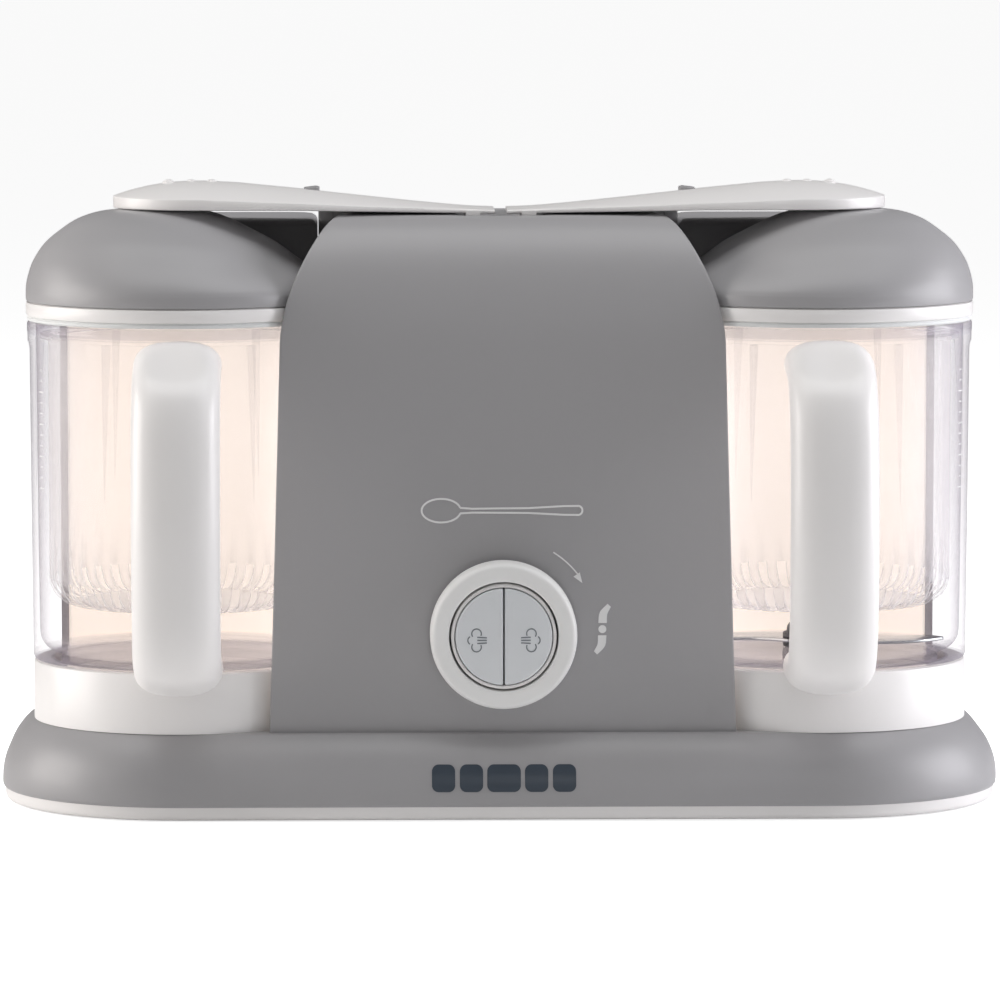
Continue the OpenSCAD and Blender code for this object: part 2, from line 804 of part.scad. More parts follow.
// A closed shell: rings go up the outside and come down the inside
module dome(side) {
    top = len(dome_slices) - 1;
    outer = [for (slice = dome_slices) each dome_ring(slice, 0)];
    inner = [for (i = [top : -1 : 0]) each dome_ring(dome_slices[i], dome_wall)];
    rings = 2 * (top + 1);
    faces = [
        for (i = [0 : rings - 1], k = [0 : dome_sides - 1])
            let (a = i * dome_sides, b = (i + 1) % rings * dome_sides, m = (k + 1) % dome_sides)
                if (i != top) each [[a + k, b + k, b + m], [a + k, b + m, a + m]]
    ];
    crown = [for (k = [dome_sides - 1 : -1 : 0]) top * dome_sides + k];
    ceiling = [for (k = [0 : dome_sides - 1]) (top + 1) * dome_sides + k];
    color(grey) sided(side) polyhedron(concat(outer, inner), concat(faces, [crown, ceiling]));
}

// Round steps that hold the whole of a dome
module dome_steps(gap)
    for (i = [0 : len(dome_slices) - 2])
        translate([bowl_x + dome_slices[i][2], 0, dome_z + dome_slices[i][0] - 0.01])
            cylinder(r = dome_slices[i][1] + gap + dome_slices[i + 1][2] - dome_slices[i][2],
                     h = dome_slices[i + 1][0] - dome_slices[i][0] + 0.02);

module lid_band(side)
    color(white) at_bowl(side) difference() {
        rotate_extrude() polygon([
            [0, band_z + 2], [50, band_z + 2], [50, band_z], [band_r - 0.6, band_z],
            [band_r, band_z + 0.6], [band_r, dome_z], [band_r - 3, dome_z],
            [band_r - 3, dome_z - 1.2], [0, dome_z - 1.2]]);
        translate([0, 46, band_z]) cylinder(r = 5, h = 20);
        for (i = [0 : 2])
            translate([-12 + 12 * i, -10, band_z]) cylinder(r = 2.5, h = 20);
    }

module lid_gasket(side)
    color("#e4e6e6") at_bowl(side) tube(band_r - 0.5, 51, gasket_z, band_z);

module cover_plan(inset) {
    corner = 12;
    span(cover_x + inset, pillar_x - inset, cover_front_y + inset, back_y - corner);
    span(cover_x + corner, pillar_x - corner, cover_front_y + inset, back_y - inset);
    for (x = [cover_x + corner, pillar_x - corner])
        translate([x, back_y - corner]) circle(r = corner - inset);
}

// A block whose top slopes down at its outer end, where the dome in front would not hide it
module cover_block(inset, low)
    intersection() {
        translate([0, 0, low]) linear_extrude(cover_top - low) cover_plan(inset);
        rotate([90, 0, 0]) linear_extrude(400, center = true)
            polygon([[0, low], [pillar_x, low], [pillar_x, cover_slope_z - inset],
                     [cover_slope_x - inset, cover_top - inset], [0, cover_top - inset]]);
    }

module tank_cover(side) {
    color(grey) sided(side) difference() {
        cover_block(0, cover_z);
        cover_block(dome_wall, cover_z + 2);
        dome_steps(0.3);
        translate([bowl_x, 0, cover_z - 5]) cylinder(r = band_r + 0.3, h = 12);
        translate([bowl_x, tank_y, cover_z - 1]) cylinder(r = 6, h = 4);
    }
}

module tank_seal(side)
    color("#e4e6e6") sided(side) difference() {
        translate([0, 0, pillar_top + 0.4]) linear_extrude(cover_z - pillar_top - 0.4)
            tank_plan(tank_r + 1.5);
        translate([bowl_x, tank_y, pillar_top]) cylinder(r = 6, h = 4);
    }

rubber_feet();
base_tray();
base_screws();
base_shell();
base_inlay();
front_housing();
rear_housing();
cable_gland();
bay_wall(-1);  // bay_wall_left
bay_wall(1);  // bay_wall_right
collar(-1);  // collar_left
collar(1);  // collar_right
water_tank(-1);  // water_tank_left
water_tank(1);  // water_tank_right
heating_elements();
thermostats();
motor_body();
motor_bracket();
motor_rotor();
motor_pulley();
drive_belt();
drive_pulley();
drive_spindle();
spindle_bearings();
blade_hub();
blades();
blade_nut();
control_board();
rotary_switch();
knob_ring();
knob_bezel();
steam_button(-1);  // steam_button_left
steam_button(1);  // steam_button_right
button_spring(-1);  // button_spring_left
button_spring(1);  // button_spring_right
bowl(-1);  // bowl_left
bowl(1);  // bowl_right
handle(-1);  // handle_left
handle(1);  // handle_right
handle_insert(-1);  // handle_insert_left
handle_insert(1);  // handle_insert_right
basket(-1);  // basket_left
basket(1);  // basket_right
seat_cap();
hinge_pins();
arm(-1);  // arm_left
arm(1);  // arm_right
release_button(-1);  // release_button_left
release_button(1);  // release_button_right
dome(-1);  // dome_left
dome(1);  // dome_right
lid_band(-1);  // lid_band_left
lid_band(1);  // lid_band_right
lid_gasket(-1);  // lid_gasket_left
lid_gasket(1);  // lid_gasket_right
tank_cover(-1);  // tank_cover_left
tank_cover(1);  // tank_cover_right
tank_seal(-1);  // tank_seal_left
tank_seal(1);  // tank_seal_right
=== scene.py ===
"""Two-bowl baby food maker: the looks of every visible piece, built round its CAD frame.

The makers below work in millimetres, in a bench frame whose Y = 0 is the row of the two bowl axes.
piece() turns that into metres in the CAD frame.
"""

import json
import math

import bmesh
import bpy
from mathutils import Matrix, Vector

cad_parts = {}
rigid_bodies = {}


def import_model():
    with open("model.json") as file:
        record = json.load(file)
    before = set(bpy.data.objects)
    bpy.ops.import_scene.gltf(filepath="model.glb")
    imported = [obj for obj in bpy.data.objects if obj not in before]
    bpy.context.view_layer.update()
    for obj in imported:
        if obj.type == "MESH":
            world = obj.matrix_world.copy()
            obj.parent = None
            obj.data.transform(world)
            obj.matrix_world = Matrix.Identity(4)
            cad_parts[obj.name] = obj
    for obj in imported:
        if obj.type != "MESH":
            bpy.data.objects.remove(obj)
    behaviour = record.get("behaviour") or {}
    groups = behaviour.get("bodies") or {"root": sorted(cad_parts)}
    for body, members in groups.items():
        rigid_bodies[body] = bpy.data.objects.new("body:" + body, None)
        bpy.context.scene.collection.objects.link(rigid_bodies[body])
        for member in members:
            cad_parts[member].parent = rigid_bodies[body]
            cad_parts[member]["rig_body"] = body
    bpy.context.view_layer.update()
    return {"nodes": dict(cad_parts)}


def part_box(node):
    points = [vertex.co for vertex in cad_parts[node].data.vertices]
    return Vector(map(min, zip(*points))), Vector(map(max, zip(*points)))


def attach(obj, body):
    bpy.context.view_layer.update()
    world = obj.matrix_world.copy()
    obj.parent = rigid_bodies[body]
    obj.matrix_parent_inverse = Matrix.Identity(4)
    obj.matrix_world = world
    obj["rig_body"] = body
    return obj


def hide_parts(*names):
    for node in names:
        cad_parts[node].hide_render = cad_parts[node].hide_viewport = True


bl_info = {
    "name": "Two-Bowl Baby Food Maker",
    "version": (1, 0, 0),
    "blender": (4, 5, 0),
    "location": "3D View > Sidebar > Food Maker",
    "description": "Builds a two-bowl steamer and blender for baby food, piece by piece",
    "category": "Add Mesh",
}

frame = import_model()

MM = 0.001
PRINT_HIGH = 0.2  # How far printed marks stand up, in millimetres
SIDES = {"left": -1, "right": 1}


def box_mm(node):
    """A CAD node's lowest and highest corner, in millimetres."""
    low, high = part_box(node)
    return Vector(low) / MM, Vector(high) / MM


def middle(node):
    low, high = box_mm(node)
    return (low + high) / 2


BOWL_X = middle("collar_right").x
ROW_Y = middle("collar_right").y
BASE_LOW, BASE_HIGH = box_mm("base_shell")
BOWL_HIGH = box_mm("bowl_right")[1]
BAND_LOW, BAND_HIGH = box_mm("lid_band_right")
ARM_HIGH = box_mm("arm_right")[1]
HOUSING_LOW, HOUSING_HIGH = box_mm("front_housing")
COLLAR_LOW, COLLAR_HIGH = box_mm("collar_right")
RING_HIGH = box_mm("knob_ring")[1]
BASKET_LOW, BASKET_HIGH = box_mm("basket_right")


def linear(hex_colour):
    """An sRGB hex colour as linear red, green and blue."""
    parts = [int(hex_colour[i:i + 2], 16) / 255 for i in (1, 3, 5)]
    return tuple(c / 12.92 if c <= 0.04045 else ((c + 0.055) / 1.055) ** 2.4 for c in parts)


def rgba(colour):
    return (*colour[:3], 1.0)


# ------------------------------------------------------------------ what a user may change


def colour_prop(name, hex_colour, description):
    return bpy.props.FloatVectorProperty(name=name, subtype="COLOR", size=3, min=0, max=1,
                                         default=linear(hex_colour), description=description)


class FoodMakerColours(bpy.types.PropertyGroup):
    shell: colour_prop("Shells", "#a3a2a4", "Grey of the base, the housing and the lids")
    white: colour_prop("White parts", "#f3f1f0", "White of the handles, collars, bands and arms")
    knob: colour_prop("Knob ring", "#f4f4f3", "Pale grey of the turning ring")
    button: colour_prop("Buttons", "#e2e5e8", "Cool grey of the two steam buttons")
    slate: colour_prop("Inlay", "#39434f", "Dark slate of the inlay in the base")
    ink: colour_prop("Print", "#e9e9e9", "Pale ink of the marks on the housing")
    clear: colour_prop("Bowls", "#a29bab", "Tint of the clear bowls")


class FoodMakerSizes(bpy.types.PropertyGroup):
    grip_depth: bpy.props.FloatProperty(name="Grip depth", default=21, min=18, max=22,
                                        description="Thickness of a handle, in millimetres")
    thumb_dip: bpy.props.FloatProperty(name="Thumb dip", default=4.0, min=0, max=6,
                                       description="Depth of the dip on a handle, in millimetres")


class FoodMakerStage(bpy.types.PropertyGroup):
    distance: bpy.props.FloatProperty(name="Camera distance", default=2.38, unit="LENGTH",
                                      description="From the camera to the row of bowls")
    height: bpy.props.FloatProperty(name="Camera height", default=0.3475, unit="LENGTH",
                                    description="Of the camera over the table")
    sideways: bpy.props.FloatProperty(name="Camera offset", default=-0.053, unit="LENGTH",
                                      description="Of the camera to the right of the middle")
    aim_height: bpy.props.FloatProperty(name="Aim height", default=0.1185, unit="LENGTH",
                                        description="Height that the camera looks at")
    lens: bpy.props.FloatProperty(name="Lens", default=217.0, min=30, max=400,
                                  description="Focal length in millimetres")


def colours():
    return bpy.context.scene.food_maker_colours


def sizes():
    return bpy.context.scene.food_maker_sizes


# ------------------------------------------------------------------ materials


def add(tree, kind, inputs=None, **settings):
    """Adds a node: its settings, then its inputs, each a value or another node's output."""
    node = tree.nodes.new(kind)
    for key, value in settings.items():
        setattr(node, key, value)
    for key, value in (inputs or {}).items():
        if isinstance(value, bpy.types.NodeSocket):
            tree.links.new(value, node.inputs[key])
        else:
            node.inputs[key].default_value = value
    return node


def new_material(name, inputs, surface=None):
    """A principled material; surface(tree, place) returns inputs that a pattern drives."""
    found = bpy.data.materials.get(name)
    if found:
        return found
    mat = bpy.data.materials.new(name)
    mat.use_nodes = True
    tree = mat.node_tree
    tree.nodes.clear()
    place = add(tree, "ShaderNodeTexCoord").outputs["Object"]
    driven = surface(tree, place) if surface else {}
    shader = add(tree, "ShaderNodeBsdfPrincipled", {**inputs, **driven})
    add(tree, "ShaderNodeOutputMaterial", {"Surface": shader.outputs[0]})
    return mat


def per_mm(size_mm):
    """The scale that makes a noise cell about this many millimetres across."""
    return 1 / (size_mm * MM)


def mottle(tree, place, colour, spread, size_mm):
    """The colour, lighter and darker by spread in soft patches."""
    noise = add(tree, "ShaderNodeTexNoise", {"Vector": place, "Scale": per_mm(size_mm),
                                             "Detail": 3.0})
    ramp = add(tree, "ShaderNodeMix", {"Factor": noise.outputs[0]}, data_type="RGBA")
    ramp.inputs["A"].default_value = rgba([c * (1 - spread) for c in colour])
    ramp.inputs["B"].default_value = rgba([min(1, c * (1 + spread)) for c in colour])
    return ramp.outputs["Result"]


def grain(tree, place, size_mm, height_mm, strength):
    noise = add(tree, "ShaderNodeTexNoise", {"Vector": place, "Scale": per_mm(size_mm),
                                             "Detail": 4.0, "Roughness": 0.6})
    return add(tree, "ShaderNodeBump", {"Height": noise.outputs[0], "Strength": strength,
                                        "Distance": height_mm * MM}).outputs[0]


def uneven(tree, place, low, high, size_mm):
    """A roughness that wanders between low and high."""
    noise = add(tree, "ShaderNodeTexNoise", {"Vector": place, "Scale": per_mm(size_mm),
                                             "Detail": 2.0})
    return add(tree, "ShaderNodeMapRange", {"Value": noise.outputs[0], "To Min": low,
                                            "To Max": high}).outputs[0]


def moulded(colour, low, high, grain_mm, height_mm, strength=0.35):
    """The surface of a moulding: a faint mottle, a fine tool grain and an uneven sheen."""
    def surface(tree, place):
        return {"Base Color": mottle(tree, place, colour, 0.012, 40),
                "Roughness": uneven(tree, place, low, high, 25),
                "Normal": grain(tree, place, grain_mm, height_mm, strength)}
    return surface


def abs_satin_grey():
    """Injection-moulded ABS from a finely etched tool: satin, with a soft wide highlight."""
    return new_material("abs_satin_moulded", {"IOR": 1.53, "Specular IOR Level": 0.45},
                        moulded(colours().shell, 0.36, 0.42, 0.7, 0.012))


def pp_gloss_white():
    """Polished polypropylene: smooth and bright, with a clean soft highlight."""
    return new_material("polypropylene_white_polished",
                        {"IOR": 1.49}, moulded(colours().white, 0.27, 0.31, 1.4, 0.004, 0.2))


def pp_liner_painted_glow():
    """Natural polypropylene liner: warm white, with a painted glow, a faint warm emission that
    brightens the shaded bay walls as if light came through them.
    """
    return new_material("polypropylene_liner_painted_glow",
                        # Painted light: this warm emission makes the liner glow though it is no lamp
                        {"IOR": 1.49, "Emission Color": rgba(linear("#fff0df")),
                         "Emission Strength": 0.62},
                        moulded(linear("#f3efec"), 0.4, 0.48, 1.4, 0.006))


def abs_matt_knob():
    """Fine-etched ABS on the turning ring: duller than the white parts round it."""
    return new_material("abs_matt_moulded", {"IOR": 1.53},
                        moulded(colours().knob, 0.42, 0.5, 0.5, 0.01))


def abs_button_grey():
    """Cool grey ABS keys with a soft satin face."""
    return new_material("abs_key_satin", {"IOR": 1.53},
                        moulded(colours().button, 0.4, 0.46, 0.5, 0.008))


def see_through(tree, facing, low, high):
    """An alpha from low face on to high edge on, that hardly dims what the lamps send through."""
    alpha = add(tree, "ShaderNodeMapRange", {"Value": facing, "To Min": low, "To Max": high})
    lamp = add(tree, "ShaderNodeLightPath").outputs["Is Shadow Ray"]
    passed = add(tree, "ShaderNodeMapRange", {"Value": lamp, "To Min": 1.0, "To Max": 0.12})
    return add(tree, "ShaderNodeMath", {0: alpha.outputs[0], 1: passed.outputs[0]},
               operation="MULTIPLY").outputs[0]


def copolyester_clear():
    """Clear injection-moulded copolyester: walls vanish face on, edges, rim and floor go lilac."""
    def surface(tree, place):
        edge = add(tree, "ShaderNodeLayerWeight", {"Blend": 0.5}).outputs["Facing"]
        sharp = add(tree, "ShaderNodeMath", {0: edge, 1: 4.0}, operation="POWER").outputs[0]
        height = add(tree, "ShaderNodeSeparateXYZ", {0: place}).outputs["Z"]
        rim = add(tree, "ShaderNodeMapRange", {
            "Value": height, "From Min": (BOWL_HIGH.z - 5) * MM, "From Max": (BOWL_HIGH.z - 4) * MM,
            "To Max": 0.3}).outputs[0]
        foot = add(tree, "ShaderNodeMapRange", {
            "Value": height, "From Min": (COLLAR_HIGH.z + 3.4) * MM,
            "From Max": (COLLAR_HIGH.z + 2.4) * MM, "To Max": 0.22}).outputs[0]
        thick = add(tree, "ShaderNodeMath", {0: rim, 1: foot}).outputs[0]
        deep = add(tree, "ShaderNodeMath", {0: sharp, 1: thick}, use_clamp=True).outputs[0]
        return {"Base Color": mottle(tree, place, colours().clear, 0.02, 30),
                "Alpha": see_through(tree, deep, 0.04, 0.72),
                "Roughness": uneven(tree, place, 0.03, 0.06, 20)}
    return new_material("copolyester_clear_moulded", {"IOR": 1.55, "Specular IOR Level": 0.6},
                        surface)


def pp_frosted():
    """Natural polypropylene with a misted face: milky, and cloudier where it turns away."""
    def surface(tree, place):
        edge = add(tree, "ShaderNodeLayerWeight", {"Blend": 0.5}).outputs["Facing"]
        sharp = add(tree, "ShaderNodeMath", {0: edge, 1: 2.0}, operation="POWER").outputs[0]
        return {"Base Color": mottle(tree, place, linear("#eceaec"), 0.02, 30),
                "Alpha": see_through(tree, sharp, 0.06, 0.55),
                "Normal": grain(tree, place, 1.0, 0.01, 0.3)}
    return new_material("polypropylene_natural_frosted", {"IOR": 1.49, "Roughness": 0.3}, surface)


def silicone_white():
    """Moulded silicone: matt and slightly powdery."""
    return new_material("silicone_moulded", {"IOR": 1.41},
                        moulded(linear("#e6e8e8"), 0.5, 0.6, 0.8, 0.01))


def rubber_black():
    """Moulded rubber: matt, with a faint pebble."""
    return new_material("rubber_moulded", {"IOR": 1.5, "Specular IOR Level": 0.3},
                        moulded(linear("#2b2b2d"), 0.7, 0.8, 1.2, 0.03, 0.6))


def slate_inlay():
    """Dark slate ABS inlay with a thin clear lacquer."""
    return new_material("abs_inlay_lacquered", {"IOR": 1.53, "Coat Weight": 0.4,
                                                "Coat Roughness": 0.15},
                        moulded(colours().slate, 0.3, 0.36, 0.8, 0.008))


def pale_ink():
    """Pad-printed pale ink: flat, a little rough, and slightly uneven in tone."""
    return new_material("ink_pad_printed_pale", {"IOR": 1.45},
                        moulded(colours().ink, 0.5, 0.58, 0.3, 0.004))


def dark_ink():
    """Pad-printed grey ink on the keys."""
    return new_material("ink_pad_printed_grey", {"IOR": 1.45},
                        moulded(linear("#7d8287"), 0.5, 0.58, 0.3, 0.004))


def nylon_black():
    """Glass-filled nylon: black, with a dry mottled face."""
    return new_material("nylon_glass_filled", {"IOR": 1.53},
                        moulded(linear("#232326"), 0.42, 0.55, 0.9, 0.02, 0.5))


def metal(name, hex_colour, rough, line_mm, along):
    """A metal drawn or ground along one axis, so that its scratches run that way."""
    def surface(tree, place):
        stretch = [1.0, 1.0, 1.0]
        stretch[along] = 0.04
        lines = add(tree, "ShaderNodeMapping", {"Vector": place, "Scale": stretch}).outputs[0]
        noise = add(tree, "ShaderNodeTexNoise", {"Vector": lines, "Scale": per_mm(line_mm),
                                                 "Detail": 5.0}).outputs[0]
        bump = add(tree, "ShaderNodeBump", {"Height": noise, "Strength": 0.25,
                                            "Distance": 0.01 * MM}).outputs[0]
        dull = add(tree, "ShaderNodeMapRange", {"Value": noise, "To Min": rough - 0.06,
                                                "To Max": rough + 0.08}).outputs[0]
        return {"Base Color": mottle(tree, place, linear(hex_colour), 0.02, 15),
                "Roughness": dull, "Normal": bump}
    return new_material(name, {"Metallic": 1.0}, surface)


def ground_steel():
    """Ground stainless blades: fine scratches across the blade."""
    return metal("stainless_ground", "#c9ccce", 0.24, 0.4, 1)


def drawn_steel():
    """Deep-drawn stainless of the tanks, the spindle and the pins."""
    return metal("stainless_drawn", "#bfc2c4", 0.3, 0.5, 2)


def plated_steel():
    """Zinc-plated pressed steel of the motor and its bracket."""
    return metal("steel_zinc_plated", "#9a9c9e", 0.4, 1.5, 0)


def sintered_bronze():
    """Sintered bronze bushes: warm, dull and porous."""
    return metal("bronze_sintered", "#a9825a", 0.5, 0.3, 2)


def board_green():
    """Solder-resist lacquer on a fibreglass board."""
    return new_material("fibreglass_board_lacquered", {"IOR": 1.5, "Coat Weight": 0.5},
                        moulded(linear("#2d6a45"), 0.3, 0.4, 1.5, 0.01))


# ------------------------------------------------------------------ mesh tools


def loop_of(bm, points, closed=True):
    """Vertices at the points, with the edges that join them in order."""
    verts = [bm.verts.new(p) for p in points]
    pairs = zip(verts, verts[1:] + verts[:1]) if closed else zip(verts, verts[1:])
    return [bm.edges.new(pair) for pair in pairs]


def loft(rings, caps=(True, True)):
    """A skin over a row of closed rings that have the same number of points."""
    bm = bmesh.new()
    loops = [loop_of(bm, ring) for ring in rings]
    for low, high in zip(loops, loops[1:]):
        bmesh.ops.bridge_loops(bm, edges=low + high)
    for loop, wanted in zip((loops[0], loops[-1]), caps):
        if wanted:
            bmesh.ops.edgeloop_fill(bm, edges=loop)
    bmesh.ops.recalc_face_normals(bm, faces=bm.faces)
    return bm


def turned(profile, steps=96, closed=True):
    """A profile of (radius, height) spun about Z, closed on itself unless it meets the axis."""
    bm = bmesh.new()
    edges = loop_of(bm, [(r, 0, z) for r, z in profile], closed)
    bmesh.ops.spin(bm, geom=list(bm.verts) + edges, cent=(0, 0, 0), axis=(0, 0, 1),
                   angle=2 * math.pi, steps=steps, use_merge=True, use_duplicate=False)
    bmesh.ops.remove_doubles(bm, verts=bm.verts, dist=0.0005)
    bmesh.ops.recalc_face_normals(bm, faces=bm.faces)
    return bm


def slab(outline, depth):
    """A flat outline of (x, y), raised from z = 0 to depth."""
    bm = bmesh.new()
    face = bmesh.ops.edgeloop_fill(bm, edges=loop_of(bm, [(x, y, 0) for x, y in outline]))
    raised = bmesh.ops.extrude_face_region(bm, geom=face["faces"])
    moved = [g for g in raised["geom"] if isinstance(g, bmesh.types.BMVert)]
    bmesh.ops.translate(bm, vec=(0, 0, depth), verts=moved)
    bmesh.ops.recalc_face_normals(bm, faces=bm.faces)
    return bm


def soften(bm, width, angle=35, segments=3, where=None):
    """Rounds every edge that is sharper than angle, or only those that where() accepts."""
    edges = [e for e in bm.edges if len(e.link_faces) == 2
             and e.calc_face_angle(0) > math.radians(angle) and (where is None or where(e))]
    bmesh.ops.bevel(bm, geom=edges, offset=width, segments=segments, profile=0.5,
                    affect="EDGES", clamp_overlap=True, material=-1)
    return bm


def joined(*parts):
    """One bmesh that holds all the parts."""
    whole = bmesh.new()
    for part in parts:
        held = bpy.data.meshes.new("held")
        part.to_mesh(held)
        part.free()
        whole.from_mesh(held)
        bpy.data.meshes.remove(held)
    return whole


def moved(bm, vec=(0, 0, 0), turn=0, axis="Z"):
    bm.transform(Matrix.Translation(vec) @ Matrix.Rotation(math.radians(turn), 4, axis))
    return bm


def smooth_path(points, steps):
    """A Catmull-Rom curve through the points."""
    rows = [Vector(p) for p in points]
    rows = [2 * rows[0] - rows[1]] + rows + [2 * rows[-1] - rows[-2]]
    path = []
    for a, b, c, d in zip(rows, rows[1:], rows[2:], rows[3:]):
        for i in range(steps):
            t = i / steps
            path.append(0.5 * (2 * b + (c - a) * t + (2 * a - 5 * b + 4 * c - d) * t * t
                               + (3 * b - a - 3 * c + d) * t ** 3))
    path.append(rows[-2])
    return path


def stroke(points, width):
    """A flat printed line through points of (x, y)."""
    rows = [Vector(p) for p in points]
    left, right = [], []
    for i, here in enumerate(rows):
        along = (rows[min(i + 1, len(rows) - 1)] - rows[max(i - 1, 0)]).normalized()
        across = Vector((-along.y, along.x)) * width / 2
        left.append(here + across)
        right.append(here - across)
    return slab([tuple(p) for p in left + right[::-1]], PRINT_HIGH)


def arc(x, y, radius, start, end, steps=16):
    angles = [math.radians(start + (end - start) * i / steps) for i in range(steps + 1)]
    return [(x + radius * math.cos(a), y + radius * math.sin(a)) for a in angles]


def piece(name, bm, mat, body, nodes=(), side=1, angle=38):
    """Makes a bench mesh into an object that rides on a body and stands for CAD nodes."""
    bm.transform(Matrix.Translation((0, ROW_Y * MM, 0)) @ Matrix.Diagonal((side * MM, MM, MM, 1)))
    if side < 0:
        bmesh.ops.reverse_faces(bm, faces=bm.faces)
    mesh = bpy.data.meshes.new(name)
    bm.to_mesh(mesh)
    bm.free()
    mesh.materials.append(mat)
    mesh.shade_smooth()
    mesh.set_sharp_from_angle(angle=math.radians(angle))
    obj = bpy.data.objects.new(name, mesh)
    bpy.context.scene.collection.objects.link(obj)
    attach(obj, body)
    if nodes:
        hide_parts(*nodes)
    return obj


def pair(stem, build, mat, body, node, slot):
    """A right-hand piece and its mirror image, each on its own side's body."""
    for word, side in SIDES.items():
        host = body if body == "housing" else f"{body}_{word}"
        piece(f"{stem}_{word}", build(), mat, host, [f"{node}_{word}"], side)


def rounded_copy(node, width, mat, segments=2):
    """A copy of a CAD node with its vertices joined and its edges rounded."""
    source = frame["nodes"][node]
    bm = bmesh.new()
    bm.from_mesh(source.data)
    bm.transform(Matrix.Diagonal((1 / MM, 1 / MM, 1 / MM, 1)) @ Matrix.Translation((0, -ROW_Y * MM, 0)))
    bmesh.ops.remove_doubles(bm, verts=bm.verts, dist=0.002)
    bmesh.ops.dissolve_limit(bm, angle_limit=math.radians(1), verts=bm.verts, edges=bm.edges)
    soften(bm, width, 30, segments)
    return piece(node + "_skin", bm, mat, source["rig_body"], [node])


def dress(mat, *nodes):
    """Gives CAD nodes that are shown as they are a finish."""
    for node in nodes:
        mesh = frame["nodes"][node].data
        mesh.materials.clear()
        mesh.materials.append(mat)


# ------------------------------------------------------------------ base

END_R = BASE_HIGH.x - BOWL_X
REAR_R = 65.0
BASE_REAR = BASE_HIGH.y - ROW_Y
BASE_ARC = 60
# The shell leans in by TOP_INSET on its way from its widest line up to the rounded edge of its top
TOP_INSET = 12.6
TOP_EDGE = 0.5
BASE_WIDEST_Z = BASE_LOW.z + 3.4
BASE_RISE = BASE_HIGH.z - BASE_WIDEST_Z - TOP_EDGE


def base_inset(angle):
    """How far the shell's side has leaned in, at an angle (in radians) along its curve."""
    return TOP_INSET * (1 - math.cos(angle)) / (1 - math.cos(math.radians(BASE_ARC)))


def base_outline(inset, z, steps=18):
    """The base's plan, drawn in from its widest line by inset."""
    rear_x = BASE_HIGH.x - REAR_R
    rear_y = BASE_REAR - REAR_R
    right = arc(BOWL_X, 0, END_R - inset, -90, 0, steps)
    right += arc(rear_x, rear_y, REAR_R - inset, 0, 90, steps)
    left = [(-x, y) for x, y in reversed(right)]
    return [(x, y, z) for x, y in right + left]


def base_shell():
    rings = [(1.6, BASE_LOW.z), (0.6, BASE_LOW.z), (0.15, BASE_LOW.z + 0.5), (0, BASE_LOW.z + 1.4)]
    for i in range(13):
        a = math.radians(BASE_ARC * i / 12)
        up_share = math.sin(a) / math.sin(math.radians(BASE_ARC))
        rings.append((base_inset(a), BASE_WIDEST_Z + BASE_RISE * up_share))
    rings += [(TOP_INSET + 0.5, BASE_HIGH.z - 0.15), (TOP_INSET + 1.3, BASE_HIGH.z)]
    return loft([base_outline(inset, z) for inset, z in rings])


def base_tray():
    low = box_mm("base_tray")[0].z
    rings = [(4.0, low), (3.0, low + 0.1), (2.2, low + 0.4), (1.5, low + 1.0), (1.15, low + 2.0),
             (1.0, low + 3.6), (1.0, BASE_LOW.z), (6, BASE_LOW.z)]
    return loft([base_outline(inset, z) for inset, z in rings])


class FOOD_OT_base(bpy.types.Operator):
    """Make the base shell, the tray and what they stand on"""
    bl_idname = "food_maker.base"
    bl_label = "Base"

    def execute(self, context):
        piece("base_shell_moulding", base_shell(), abs_satin_grey(), "housing", ["base_shell"])
        piece("base_tray_moulding", base_tray(), pp_gloss_white(), "housing", ["base_tray"])
        rounded_copy("rubber_feet", 0.4, rubber_black())
        dress(drawn_steel(), "base_screws")
        return {"FINISHED"}


# ------------------------------------------------------------------ housing

BAY_R = 64.0
FACE_LOW_Y = HOUSING_LOW.y - ROW_Y
# How far the front face leans back for each millimetre up
FACE_LEAN = 2.9 / 148.5
FACE_BEND_Z = 181.5
NOSE_DEPTH = 33.0
HOUSING_BACK = HOUSING_HIGH.y - ROW_Y
CORNER_R = 2.6
# The pocket in the housing's top that the lids' hinge eyes turn in, and its floor's height
POCKET_X, POCKET_FRONT, POCKET_BACK, POCKET_FLOOR = 17.5, -21, 17, 217.5


def face_y(z):
    return FACE_LOW_Y + (z - HOUSING_LOW.z) * FACE_LEAN


def bay_x(y):
    """Half the housing's width at y, where a bowl's bay cuts into it."""
    return BOWL_X - math.sqrt(max(0, BAY_R ** 2 - y ** 2))


def housing_ring(front, z, shrink=0.0):
    """The outline of the front housing at one height, whose front face lies at y = front."""
    start = front + CORNER_R
    corner = []
    for i in range(7):
        t = i / 6
        a, b = Vector((bay_x(front) - CORNER_R, front)), Vector((bay_x(front), front))
        c = Vector((bay_x(start), start))
        corner.append((1 - t) ** 2 * a + 2 * t * (1 - t) * b + t * t * c)
    side = [Vector((bay_x(y), y)) for y in
            (start + (HOUSING_BACK - start) * i / 30 for i in range(1, 31))]
    half = [Vector((front_x, front)) for front_x in (0, 25, 50)] + corner + side
    right = [Vector((p.x - shrink, p.y)) for p in half[1:]]
    left = [Vector((-p.x, p.y)) for p in reversed(right)]
    return [(p.x, p.y, z) for p in [half[0]] + right + [Vector((0, HOUSING_BACK))] + left]


def front_housing():
    rings = [housing_ring(face_y(z), z) for z in (HOUSING_LOW.z, 80, 130, FACE_BEND_Z)]
    bend_y = face_y(FACE_BEND_Z)
    rise = HOUSING_HIGH.z - FACE_BEND_Z
    for i in range(1, 25):
        a = math.radians(90 * i / 24)
        y = bend_y + NOSE_DEPTH * (1 - math.cos(a))
        rings.append(housing_ring(y, FACE_BEND_Z + rise * math.sin(a), 1.4 * (i / 24) ** 8))
    return loft(rings)


